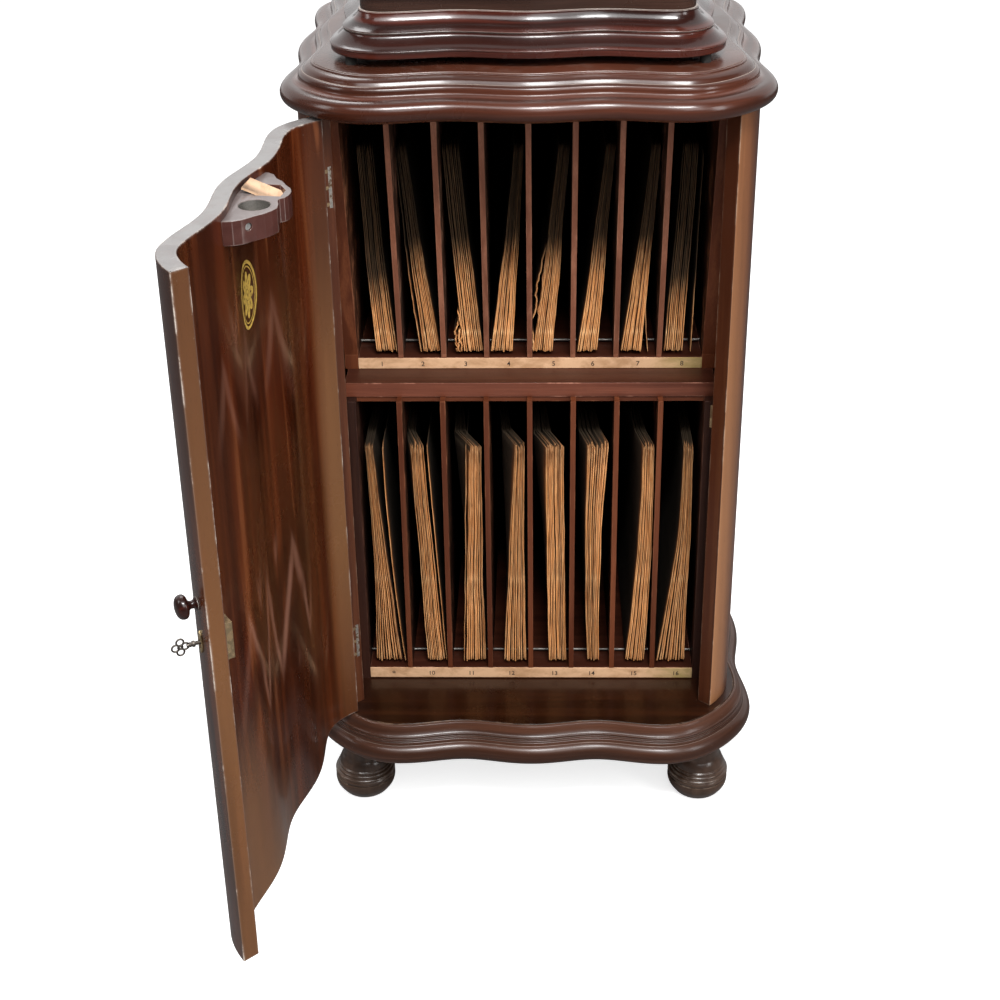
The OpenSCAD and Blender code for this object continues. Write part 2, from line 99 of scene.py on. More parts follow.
# --------------------------------------------------------------------------
# Shader expressions
# --------------------------------------------------------------------------
class Value:
    """A number that a shader works out, wrapping one node socket."""

    def __init__(self, net: "Net", socket: Socket) -> None:
        """Keeps the net and the socket."""
        self.net = net
        self.socket = socket

    def __add__(self, other: "Value | float") -> "Value":
        """Sum."""
        return self.net.math("ADD", self, other)

    __radd__ = __add__

    def __sub__(self, other: "Value | float") -> "Value":
        """Difference."""
        return self.net.math("SUBTRACT", self, other)

    def __rsub__(self, other: float) -> "Value":
        """Difference from a number."""
        return self.net.math("SUBTRACT", other, self)

    def __mul__(self, other: "Value | float") -> "Value":
        """Product."""
        return self.net.math("MULTIPLY", self, other)

    __rmul__ = __mul__

    def __abs__(self) -> "Value":
        """This value without its sign."""
        return self.net.math("ABSOLUTE", self)

    def clamp(self) -> "Value":
        """This value held between 0 and 1."""
        return Value(self.net, self.net.node("ShaderNodeClamp", {}, {"Value": self}).outputs[0])

    def ramp(self, low: float, high: float) -> "Value":
        """Smooth step.

        Args:
            low: where it leaves 0.
            high: where it reaches 1.

        Returns:
            The step's value.
        """
        sockets = {"Value": self, "From Min": low, "From Max": high}
        node = self.net.node("ShaderNodeMapRange", {"interpolation_type": "SMOOTHSTEP"}, sockets)
        return Value(self.net, node.outputs["Result"])


class Tree:
    """A node tree of a material or a world while it is written."""

    def __init__(self, owner: bpy.types.Material | bpy.types.World, output: str) -> None:
        """Empties the owner's tree and adds its output node.

        Args:
            owner: the material or the world.
            output: type of its output node.
        """
        owner.use_nodes = True
        self.tree = owner.node_tree
        self.tree.nodes.clear()
        self.surface = self.node(output, {}, {}).inputs["Surface"]

    def node(self, kind: str, settings: dict[str, object], inputs: dict[object, object]) -> bpy.types.Node:
        """Adds one node.

        Args:
            kind: Blender's node type.
            settings: attributes of the node, set first.
            inputs: values or links of its sockets by name or index.

        Returns:
            The node.
        """
        node = self.tree.nodes.new(kind)
        for key, value in settings.items():
            setattr(node, key, value)
        for key, value in inputs.items():
            self.put(node.inputs[key], value)
        return node

    def put(self, socket: Socket, value: object) -> None:
        """Sets a socket to a number, a vector, a colour or a link.

        Args:
            socket: the input.
            value: what goes into it.
        """
        if isinstance(value, (Value, Socket)):
            self.tree.links.new(value.socket if isinstance(value, Value) else value, socket)
        elif isinstance(value, tuple) and socket.type == "RGBA":
            socket.default_value = (*value, 1.0)
        else:
            socket.default_value = value


class Net(Tree):
    """The tree of one Principled material, written as expressions."""

    def __init__(self, name: str) -> None:
        """Starts a material with its shader.

        Args:
            name: name of the material.
        """
        self.material = bpy.data.materials.new(name)
        super().__init__(self.material, "ShaderNodeOutputMaterial")
        self.shader = self.node("ShaderNodeBsdfPrincipled", {}, {})
        self.put(self.surface, self.shader.outputs[0])

    def math(self, op: str, *values: "Value | float") -> Value:
        """Adds a Math node of one operation."""
        return Value(self, self.node("ShaderNodeMath", {"operation": op}, dict(enumerate(values))).outputs[0])

    def grain(self) -> Socket:
        """The point in the board's grain space, the grain along its third part."""
        return self.node("ShaderNodeAttribute", {"attribute_name": "grain"}, {}).outputs["Vector"]

    def mask(self, name: str) -> Value:
        """A number stored on the mesh under a name."""
        return Value(self, self.node("ShaderNodeAttribute", {"attribute_name": name}, {}).outputs["Fac"])

    def place(self) -> Socket:
        """The point in the piece's own space, in metres."""
        return self.node("ShaderNodeTexCoord", {}, {}).outputs["Object"]

    def noise(
        self, at: Socket, by: Triple, detail: float, rough: float, warp: float = 0.0, shift: Triple = (0, 0, 0),
    ) -> Value:
        """Noise round 0.5.

        Args:
            at: the point.
            by: how many times finer than a metre it is along each axis.
            detail: its octaves.
            rough: how strong the fine octaves are.
            warp: its distortion.
            shift: moves it, so that noises differ.

        Returns:
            The noise.
        """
        scaled = self.node("ShaderNodeVectorMath", {"operation": "MULTIPLY_ADD"}, {0: at, 1: by, 2: shift}).outputs[0]
        sockets = {"Vector": scaled, "Scale": 1.0, "Detail": detail, "Roughness": rough, "Distortion": warp}
        return Value(self, self.node("ShaderNodeTexNoise", {}, sockets).outputs["Fac"])

    def mix(self, factor: "Value | float", first: object, second: object) -> Socket:
        """Mixes two colours.

        Args:
            factor: share of the second.
            first: a colour.
            second: a colour.

        Returns:
            The mixed colour.
        """
        return self.node("ShaderNodeMix", {"data_type": "RGBA"}, {0: factor, 6: first, 7: second}).outputs[2]

    def split(self, vector: Socket) -> tuple[Value, Value, Value]:
        """The three parts of a vector."""
        node = self.node("ShaderNodeSeparateXYZ", {}, {0: vector})
        return tuple(Value(self, o) for o in node.outputs)  # type: ignore[return-value]

    def shaded(self, colour: Socket, top: float, flank: float) -> Socket:
        """Darkens a colour where the surface faces up or sideways; on sideways faces it is painted shade.

        Args:
            colour: the colour.
            top: what is left of it on upward faces.
            flank: what is left of it on sideways faces.

        Returns:
            The colour.
        """
        if top == 1.0 and flank == 1.0:
            return colour
        across, _, up = self.split(self.node("ShaderNodeNewGeometry", {}, {}).outputs["True Normal"])
        left = (1 - up.ramp(0.6, 0.9) * (1 - top)) * (1 - abs(across).ramp(0.5, 0.85) * (1 - flank))
        return self.mix(left.clamp(), (0.0, 0.0, 0.0), colour)

    def finish(self, height: Value, strength: float, distance: float, **values: object) -> bpy.types.Material:
        """Sets the shader's sockets and its bump.

        Args:
            height: the bump's height.
            strength: the bump's strength.
            distance: the bump's depth in metres.
            **values: the sockets by name, with _ for a space.

        Returns:
            The material.
        """
        for key, value in values.items():
            self.put(self.shader.inputs[key.replace("_", " ")], value)
        bump = self.node("ShaderNodeBump", {}, {"Strength": strength, "Distance": distance, "Height": height})
        self.put(self.shader.inputs["Normal"], bump.outputs[0])
        return self.material


def dimmed(colour: Triple, *by: float) -> Triple:
    """A colour times one factor, or times one for each of its three parts."""
    return tuple(c * f for c, f in zip(colour, by * (3 // len(by))))  # type: ignore[return-value]


@dataclass(frozen=True)
class Lacquered:
    """A lacquered or bare wood: three tones of the wood, and the tone that it wears to."""

    name: str
    deep: Triple
    mid: Triple
    pale: Triple
    worn: Triple
    rough: float
    coat: float
    wear: float
    figure: float = 0.5
    sheen: float = 0.3
    dust: float = 0.15
    line: float = 0.0  # how far every arris is worn bright, partly a painted highlight
    gloss: float = 0.14
    # Share of the colour left on upward and on sideways faces; on sideways faces it is painted shade.
    top: float = 1.0
    flank: float = 1.0
    # Pale colour of painted light on faces towards the front; where set, the masks of painted light, painted shade and
    # a painted top reflection are used.
    amber: Triple | None = None
    # Weight of the painted reflections of the room on the door.
    flame: float = 0.0

    def build(self) -> bpy.types.Material:
        """Builds the finish.

        Returns:
            The material.
        """
        net = Net(self.name)
        grain, place = net.grain(), net.place()
        bands = net.noise(grain, (14, 14, 1.3), 4, 0.55, 0.6)
        ribbon = net.noise(grain, (70, 70, 2.2), 3, 0.6, 0.3, (3.1, 0.4, 1.7))
        fibre = net.noise(grain, (900, 900, 16), 3, 0.65)
        pits = net.noise(grain, (2300, 2300, 70), 2, 0.6, 0.0, (7, 1, 3)).ramp(0.62, 0.74)
        cloud = net.noise(place, (6, 6, 5), 4, 0.6)
        smear = net.noise(place, (38, 38, 24), 5, 0.7, 0.0, (2, 5, 1))
        colour = net.mix(bands.ramp(0.36, 0.66), self.deep, self.mid)
        colour = net.mix(ribbon.ramp(0.42, 0.7) * self.figure, colour, self.pale)
        colour = net.mix((1 - fibre.ramp(0.3, 0.7)) * 0.45, colour, self.deep)
        # Painted reflections of the room on the door's inner face.
        if self.flame:
            colour = self.flames(net, grain, colour)
        # Painted light where the piece faces the front.
        if self.amber:
            faded = net.mask("faded") * (bands.ramp(0.3, 0.6) * 0.35 + 0.65)
            colour = net.mix(faded.clamp(), colour, self.amber)
            # Painted shade on inward faces near the opening.
            colour = net.mix(net.mask("dim"), colour, dimmed(self.deep, 0.3))
            # A painted pale-grey reflection on level tops.
            pall = net.mask("pall") * (smear.ramp(0.35, 0.65) * 0.2 + 0.75)
            colour = net.mix(pall, colour, (0.23, 0.22, 0.215))
        colour = net.mix(pits * 0.55, colour, dimmed(self.deep, 0.35))
        edge = net.mask("edge")
        patchy = edge * (smear.ramp(0.5, 0.66) * 0.85 + 0.1) * self.wear
        # Patchy real wear on the arrises, plus an even bright line along every arris: partly wear, partly a painted
        # highlight.
        rub = (patchy + edge.ramp(0.5, 0.95) * self.line).clamp()
        # Darker on upward and sideways faces, painted shade on the sides; then the worn colour over the rubbed arrises.
        colour = net.mix(rub, net.shaded(colour, self.top, self.flank), self.worn)
        speck = net.noise(place, (420, 420, 420), 2, 0.5, 0.0, (9, 2, 4)).ramp(0.74, 0.8)
        colour = net.mix(speck * self.dust, colour, self.worn)
        rough = self.rough + cloud.ramp(0.35, 0.75) * 0.12 + rub * 0.25 + smear.ramp(0.5, 0.8) * 0.08 + pits * 0.1
        return net.finish(
            fibre * 0.5 - pits * 0.8 + bands * 0.6, 0.35, 0.00005, Base_Color=colour, Roughness=rough.clamp(),
            Coat_Weight=(self.coat - rub * self.coat).clamp(), Coat_Roughness=self.gloss, Specular_IOR_Level=self.sheen,
        )

    def flames(self, net: Net, grain: Socket, colour: Socket) -> Socket:
        """Adds painted reflections of the room: upright light and dark streaks that fold into chevrons in two zones of
        the board.

        Args:
            net: the material's net.
            grain: the grain attribute.
            colour: the plain wood's colour.

        Returns:
            The colour with its painted reflections.
        """
        along, _, up = net.split(grain)
        drift = net.noise(grain, (9, 9, 3.5), 3, 0.55, 0.0, (5, 2, 8))
        streak = net.noise(grain, (46, 46, 1.6), 2, 0.5, 0.8, (8, 3, 1))
        fold = net.math("PINGPONG", along * 26 + drift * 1.1, 1.0)
        rings = net.math("PINGPONG", up * 14 + fold * 1.7 + drift * 1.2, 1.0)
        lower = up.ramp(0.3, 0.36) * (1 - up.ramp(0.45, 0.51))
        upper = up.ramp(0.64, 0.69) * (1 - up.ramp(0.76, 0.81)) * 0.45
        zone = (lower + upper) * (along.ramp(0.55, 0.6) * (1 - along.ramp(0.77, 0.83)))
        thin = rings.ramp(0.58, 0.98) * drift.ramp(0.34, 0.5) * zone
        dark = (1 - rings.ramp(0.2, 0.6)) * zone
        colour = net.mix((1 - streak.ramp(0.4, 0.56)) * 0.6 * self.flame, colour, dimmed(self.deep, 0.5, 0.45, 0.4))
        colour = net.mix(streak.ramp(0.6, 0.7) * 0.5 * self.flame, colour, (0.2, 0.06, 0.02))
        colour = net.mix(dark * 0.62 * self.flame, colour, dimmed(self.deep, 0.4))
        return net.mix(thin * 0.5 * self.flame, colour, (0.3, 0.14, 0.095))


@dataclass(frozen=True)
class Metal:
    """A tarnished metal finish, with painted shade that darkens it towards the rear where that is set."""

    name: str
    clean: Triple
    tarnish: Triple
    rough: float
    patina: float
    grit: float = 1.0
    fade: Pair | None = None

    def build(self) -> bpy.types.Material:
        """Builds the finish.

        Returns:
            The material.
        """
        net = Net(self.name)
        place = net.place()
        cloud = net.noise(place, (160, 160, 160), 5, 0.65)
        fine = net.noise(place, (1400, 1400, 300), 3, 0.6)
        mask = cloud.ramp(0.42, 0.62) * self.patina
        colour = net.mix(mask, self.clean, self.tarnish)
        # Painted shade towards the rear.
        if self.fade:
            colour = net.mix(net.split(place)[1].ramp(*self.fade), colour, (0.012, 0.009, 0.007))
        rough = self.rough + mask * 0.35 + fine.ramp(0.4, 0.7) * (0.12 * self.grit)
        return net.finish(
            fine + cloud, 0.25, 0.00006 * self.grit,
            Base_Color=colour, Metallic=(1 - mask * 0.35).clamp(), Roughness=rough.clamp(),
        )


@dataclass(frozen=True)
class Paper:
    """Old kraft paper of the record sleeves."""

    name: str
    light: Triple
    dark: Triple
    fold: Triple
    # Colour of the deepest painted shade behind the folds.
    deep: Triple = (0.034, 0.022, 0.012)

    def build(self) -> bpy.types.Material:
        """Builds the finish.

        Returns:
            The material.
        """
        net = Net(self.name)
        place = net.place()
        shade, edge = net.mask("shade"), net.mask("edge")
        stain = net.noise(place, (30, 30, 14), 5, 0.65, 0.4)
        fibre = net.noise(place, (1500, 1500, 500), 3, 0.7)
        crease = net.noise(place, (260, 90, 60), 4, 0.6, 0.5, (4, 1, 2))
        # Painted shade behind the folds and between the sleeves, over real stains.
        shade_and_stain = (shade.ramp(0.0, 0.6) * 0.8 + stain.ramp(0.42, 0.75) * 0.35).clamp()
        colour = net.mix(shade_and_stain, self.light, self.dark)
        # Darker along a crease pattern: painted shade in the creases.
        colour = net.mix(crease.ramp(0.56, 0.7) * 0.5, colour, dimmed(self.dark, 0.6, 0.55, 0.5))
        hair = net.noise(place, (1700, 300, 22), 3, 0.6, 0.0, (6, 3, 9))
        # The folds' worn brightness with painted highlight bands.
        colour = net.mix((edge * (hair.ramp(0.4, 0.6) * 0.87 + 0.12)).clamp(), colour, self.fold)
        colour = net.mix(fibre.ramp(0.4, 0.7) * 0.25, colour, self.dark)
        # Deepest painted shade, where the sleeves run back into the rack.
        colour = net.mix(shade.ramp(0.45, 0.95), colour, self.deep)
        return net.finish(fibre * 0.4 + crease, 0.5, 0.0003, Base_Color=colour, Roughness=0.85, Specular_IOR_Level=0.25)


@dataclass(frozen=True)
class Plain:
    """A quiet finish with a slight mottle: ivory strips, felt, ink or bare wood."""

    name: str
    light: Triple
    dark: Triple
    rough: float
    scale: Triple = (90, 90, 90)
    stain: Triple | None = None

    def build(self) -> bpy.types.Material:
        """Builds the finish.

        Returns:
            The material.
        """
        net = Net(self.name)
        place = net.place()
        cloud = net.noise(place, self.scale, 5, 0.65, 0.3)
        fine = net.noise(place, dimmed(self.scale, 12), 3, 0.6)
        colour = net.mix(cloud.ramp(0.4, 0.68), self.light, self.dark)
        colour = net.mix(fine.ramp(0.55, 0.8) * 0.3, colour, self.dark)
        if self.stain:
            old = net.split(place)[0].ramp(0.13, 0.19) * (cloud.ramp(0.3, 0.6) * 0.4 + 0.3)
            colour = net.mix(old, colour, self.stain)
        return net.finish(fine, 0.3, 0.00004, Base_Color=colour, Roughness=(self.rough + fine * 0.1).clamp())


WOODS = {
    "door": Lacquered(
        "mahogany_door", (0.036, 0.0062, 0.0013), (0.074, 0.0125, 0.003), (0.13, 0.03, 0.008), (0.6, 0.52, 0.45),
        0.25, 0.3, 0.9, amber=(0.152, 0.063, 0.021), flame=1.0,
    ),
    "carcass": Lacquered(
        "mahogany_carcass", (0.058, 0.014, 0.0045), (0.12, 0.031, 0.011), (0.21, 0.07, 0.025), (0.48, 0.34, 0.24),
        0.3, 0.22, 0.6, figure=0.55, sheen=0.32, amber=(0.35, 0.158, 0.066),
    ),
    "floor": Lacquered(
        "mahogany_floor", (0.012, 0.0032, 0.001), (0.024, 0.0062, 0.002), (0.048, 0.0135, 0.0045), (0.4, 0.26, 0.17),
        0.24, 0.3, 0.5, figure=0.6, dust=0.5,
    ),
    "moulding": Lacquered(
        "moulding_wood", (0.03, 0.0078, 0.0036), (0.065, 0.017, 0.0083), (0.13, 0.036, 0.0185), (0.5, 0.42, 0.36),
        0.26, 0.42, 0.12, figure=0.55, line=0.55, gloss=0.18,
    ),
    "plinth": Lacquered(
        "plinth_wood", (0.03, 0.0098, 0.0045), (0.066, 0.0225, 0.0108), (0.125, 0.048, 0.026), (0.44, 0.35, 0.28),
        0.3, 0.26, 0.2, line=0.4, gloss=0.2, dust=0.4,
    ),
    "case_moulding": Lacquered(
        "case_moulding_wood", (0.014, 0.0036, 0.0024), (0.04, 0.0085, 0.0052), (0.11, 0.02, 0.0105), (0.55, 0.48, 0.42),
        0.22, 0.4, 0.1, figure=0.65, line=0.6, gloss=0.12,
    ),
    "case": Lacquered(
        "case_wood", (0.016, 0.0068, 0.0045), (0.036, 0.0155, 0.0105), (0.07, 0.032, 0.021), (0.5, 0.45, 0.4),
        0.22, 0.55, 0.12, sheen=0.4, line=0.2, gloss=0.1,
    ),
    "turned": Lacquered(
        "turned_foot_wood", (0.03, 0.0155, 0.0095), (0.062, 0.032, 0.02), (0.105, 0.06, 0.04), (0.4, 0.31, 0.24),
        0.27, 0.4, 0.5, figure=0.4, sheen=0.4,
    ),
    "rack": Lacquered(
        "rack_wood", (0.02, 0.0065, 0.004), (0.04, 0.013, 0.0075), (0.065, 0.024, 0.014), (0.3, 0.12, 0.07),
        0.45, 0.05, 0.3, figure=0.45, sheen=0.25,
    ),
    # Sideways faces keep a quarter of the colour: painted shade on the dividers' sides.
    "divider": Lacquered(
        "divider_wood", (0.075, 0.017, 0.0055), (0.14, 0.035, 0.0115), (0.22, 0.066, 0.024), (0.4, 0.15, 0.07),
        0.5, 0.0, 0.6, sheen=0.22, flank=0.25,
    ),
    # A brighter copy of the divider wood for the upper tier: painted light on its front edges, with deeper painted
    # shade on its sides.
    "divider_upper": Lacquered(
        "divider_upper_wood", (0.13, 0.042, 0.021), (0.24, 0.085, 0.045), (0.36, 0.15, 0.085), (0.5, 0.24, 0.15),
        0.5, 0.0, 0.6, sheen=0.22, flank=0.1,
    ),
    "rail": Lacquered(
        "rail_wood", (0.08, 0.019, 0.0085), (0.14, 0.036, 0.017), (0.22, 0.066, 0.034), (0.52, 0.24, 0.16),
        0.42, 0.08, 0.7, top=0.45,
    ),
    "hidden": Lacquered(
        "shadow_wood", (0.004, 0.002, 0.0013), (0.008, 0.004, 0.0026), (0.013, 0.007, 0.0045), (0.05, 0.03, 0.02),
        0.7, 0.0, 0.1, figure=0.4, sheen=0.12,
    ),
    "bracket": Lacquered(
        "bracket_wood", (0.05, 0.014, 0.01), (0.075, 0.023, 0.0175), (0.11, 0.042, 0.034), (0.5, 0.42, 0.38),
        0.34, 0.25, 0.2, figure=0.25, sheen=0.32, line=0.25, amber=(0.1, 0.04, 0.02),
    ),
}
OTHERS = {
    "bright": Metal("bright_steel", (0.8, 0.79, 0.77), (0.5, 0.48, 0.45), 0.25, 0.3),
    "pale": Plain("pale_bare_wood", (0.62, 0.4, 0.25), (0.48, 0.28, 0.16), 0.6, (120, 36, 120)),
    "ivory": Plain("ivory_strip", (0.76, 0.47, 0.275), (0.52, 0.29, 0.15), 0.5, (30, 60, 60), (0.36, 0.29, 0.09)),
    "ink": Plain("printed_ink", (0.03, 0.02, 0.015), (0.06, 0.04, 0.025), 0.6),
    "felt": Plain("dark_felt", (0.02, 0.018, 0.016), (0.01, 0.009, 0.008), 0.9, (400, 400, 400)),
    "gilt": Plain("ornament_gilt", (0.6, 0.4, 0.075), (0.36, 0.225, 0.05), 0.42, (220, 220, 220)),
    "brass": Metal("aged_brass", (0.66, 0.5, 0.27), (0.32, 0.22, 0.12), 0.26, 0.6),
    # The rods darken towards the rear as painted shade.
    "steel": Metal("rod_steel", (0.3, 0.285, 0.265), (0.14, 0.128, 0.115), 0.48, 0.5, 0.35, (-0.039, 0.041)),
    "dull_brass": Metal("dull_brass", (0.5, 0.37, 0.22), (0.27, 0.18, 0.095), 0.42, 0.85),
    "hinge": Metal("worn_hinge", (0.86, 0.82, 0.74), (0.13, 0.075, 0.04), 0.3, 1.0),
    "iron": Metal("key_iron", (0.17, 0.15, 0.13), (0.08, 0.065, 0.055), 0.35, 0.6),
    "paper": Paper("sleeve_paper", (0.68, 0.272, 0.08), (0.18, 0.055, 0.0135), (1.0, 0.62, 0.3)),
}


class Finishes:
    """The materials of all finishes, each built once, by their short names."""

    def __init__(self) -> None:
        """Builds every finish."""
        self.built = {name: finish.build() for name, finish in (WOODS | OTHERS).items()}

    def __getitem__(self, name: str) -> bpy.types.Material:
        """The material of a finish."""
        return self.built[name]


# --------------------------------------------------------------------------
# Geometry helpers
# --------------------------------------------------------------------------
def unit(value: float) -> float:
    """A number held between 0 and 1."""
    return min(1.0, max(0.0, value))


def wobble(*at: float) -> float:
    """Smooth noise at a point of three parts."""
    return noise.noise(Vector(at))


def peak(value: float, at: float, width: float) -> float:
    """Bell curve of height 1."""
    return math.exp(-(((value - at) / width) ** 2))


def bulge(s: float) -> float:
    """0 at both ends of a height and 1 in its middle."""
    return math.sin(math.pi * min(1.0, s))


def placed(name: str, data: bpy.types.ID) -> Obj:
    """Links a new object with some data into the scene.

    Args:
        name: its name.
        data: its mesh, curve, camera or light.

    Returns:
        The object.
    """
    obj = bpy.data.objects.new(name, data)
    bpy.context.scene.collection.objects.link(obj)
    return obj


def store(mesh: bpy.types.Mesh, **masks: Sequence[float]) -> None:
    """Stores numbers on the points of a mesh under their names."""
    for name, values in masks.items():
        mesh.attributes.new(name, "FLOAT", "POINT").data.foreach_set("value", values)


def store_grain(mesh: bpy.types.Mesh, rows: Sequence[Sequence[float]]) -> None:
    """Stores the grain space of a mesh, one vector per point."""
    mesh.attributes.new("grain", "FLOAT_VECTOR", "POINT").data.foreach_set("vector", [c for row in rows for c in row])


def mark_edges(mesh: bpy.types.Mesh) -> None:
    """Stores 0..1 on each point for how sharply the surface bends there over a short distance.

    Args:
        mesh: the mesh.
    """
    work = bmesh.new()
    work.from_mesh(mesh)
    values = []
    for vert in work.verts:
        bend = 0.0
        for edge in vert.link_edges:
            if len(edge.link_faces) == 2:
                turn = edge.link_faces[0].normal.angle(edge.link_faces[1].normal, 0.0)
                narrow = min(f.calc_area() / max(edge.calc_length(), 1e-6) for f in edge.link_faces)
                if narrow < 0.0016:
                    bend = max(bend, turn)
        values.append(unit((bend - 0.14) / 0.3))
    work.free()
    store(mesh, edge=values)


def new_mesh(name: str, points: Sequence[Sequence[float]], faces: Faces) -> Obj:
    """Makes a mesh object.

    Args:
        name: its name.
        points: its points in metres.
        faces: its faces.

    Returns:
        The object.
    """
    mesh = bpy.data.meshes.new(name)
    mesh.from_pydata([tuple(p) for p in points], [], [tuple(f) for f in faces])
    mesh.validate()
    return placed(name, mesh)


def solid(name: str, points: Sequence[Sequence[float]], faces: Faces, grain: Sequence[Sequence[float]] = ()) -> Obj:
    """Makes a closed mesh object whose faces all look outwards.

    Args:
        name: its name.
        points: its points in metres.
        faces: its faces.
        grain: its grain space, if its finish has a grain.

    Returns:
        The object.
    """
    obj = new_mesh(name, points, faces)
    if grain:
        store_grain(obj.data, grain)
    work = bmesh.new()
    work.from_mesh(obj.data)
    bmesh.ops.recalc_face_normals(work, faces=work.faces)
    work.to_mesh(obj.data)
    work.free()
    return obj


def tube(rows: int, size: int, base: int = 0, ring: bool = False) -> Faces:
    """Faces between successive closed rows of points.

    Args:
        rows: how many rows there are.
        size: points in a row.
        base: number of the first point.
        ring: True joins the last row to the first, False closes both ends with a face each.

    Returns:
        The faces, the ends last.
    """
    faces: Faces = []
    for j in range(rows if ring else rows - 1):
        a, b = base + j * size, base + (j + 1) % rows * size
        faces += [(a + i, a + (i + 1) % size, b + (i + 1) % size, b + i) for i in range(size)]
    if not ring:
        last = base + (rows - 1) * size
        faces += [tuple(range(base + size - 1, base - 1, -1)), tuple(range(last, last + size))]
    return faces


def lengths(points: Sequence[Pair]) -> list[float]:
    """Distance along a polyline of each of its points.

    Args:
        points: the polyline.

    Returns:
        The distances, starting with 0.
    """
    out = [0.0]
    for a, b in zip(points, points[1:]):
        out.append(out[-1] + math.hypot(b[0] - a[0], b[1] - a[1]))
    return out


def soften(points: Sequence[Pair], radius: float, closed: bool, steps: int = 2, least: float = 14.0) -> list[Pair]:
    """Rounds the corners of a polyline.

    Args:
        points: the polyline.
        radius: length of each leg that a rounded corner takes at most.
        closed: whether the last point joins the first.
        steps: points along each rounded corner, less one.
        least: smallest bend in degrees that gets rounded.

    Returns:
        The rounded polyline.
    """
    out: list[Pair] = []
    count = len(points)
    for i, p in enumerate(points):
        if not closed and i in (0, count - 1):
            out.append(p)
            continue
        a, b = points[i - 1], points[(i + 1) % count]
        u = (a[0] - p[0], a[1] - p[1])
        v = (b[0] - p[0], b[1] - p[1])
        lu, lv = math.hypot(*u), math.hypot(*v)
        if min(lu, lv) < 1e-9:
            continue
        cosine = max(-1.0, min(1.0, -(u[0] * v[0] + u[1] * v[1]) / (lu * lv)))
        if math.degrees(math.acos(cosine)) < least:
            out.append(p)
            continue
        leg = min(radius, lu * 0.45, lv * 0.45)
        start = [p[j] + u[j] / lu * leg for j in (0, 1)]
        end = [p[j] + v[j] / lv * leg for j in (0, 1)]
        for t in (k / steps for k in range(steps + 1)):
            x, y = ((1 - t) ** 2 * start[j] + 2 * t * (1 - t) * p[j] + t * t * end[j] for j in (0, 1))
            out.append((x, y))
    return out


def braced(points: Sequence[Pair], reach: float) -> list[Pair]:
    """Adds a point near each end of the long legs of a closed polyline, so that wear stays at its bends.

    Args:
        points: the polyline.
        reach: how far from the end.

    Returns:
        The polyline with the added points.
    """
    out: list[Pair] = []
    for p, q in zip(points, [*points[1:], points[0]]):
        out.append(p)
        dx, dy = q[0] - p[0], q[1] - p[1]
        length = math.hypot(dx, dy)
        if length > reach * 3:
            out += [(p[0] + dx * t, p[1] + dy * t) for t in (reach / length, 1 - reach / length)]
    return out


def arc(cx: float, cz: float, radius: float, start: float, end: float, count: int) -> list[Pair]:
    """Points of a circular arc in a profile, by its centre, radius, end angles and number of legs."""
    angles = [math.radians(start + (end - start) * i / count) for i in range(count + 1)]
    return [(cx + radius * math.cos(a), cz + radius * math.sin(a)) for a in angles]


def spline(points: Sequence[Pair], per: int = 4) -> list[Pair]:
    """Catmull-Rom curve through profile points.

    Args:
        points: the points.
        per: legs between two of them.

    Returns:
        The curve's points.
    """
    out: list[Pair] = []
    for i in range(len(points) - 1):
        near = (points[max(i - 1, 0)], points[i], points[i + 1], points[min(i + 2, len(points) - 1)])
        for t in (k / per for k in range(per)):
            x, y = (
                0.5 * (2 * b + (c - a) * t + (2 * a - 5 * b + 4 * c - d) * t * t + (3 * b - a - 3 * c + d) * t ** 3)
                for a, b, c, d in zip(*near)
            )
            out.append((x, y))
    return [*out, points[-1]]


def turned(v: Pair, degrees: float) -> Pair:
    """A plan vector turned about the origin."""
    c, s = math.cos(math.radians(degrees)), math.sin(math.radians(degrees))
    return (v[0] * c - v[1] * s, v[0] * s + v[1] * c)


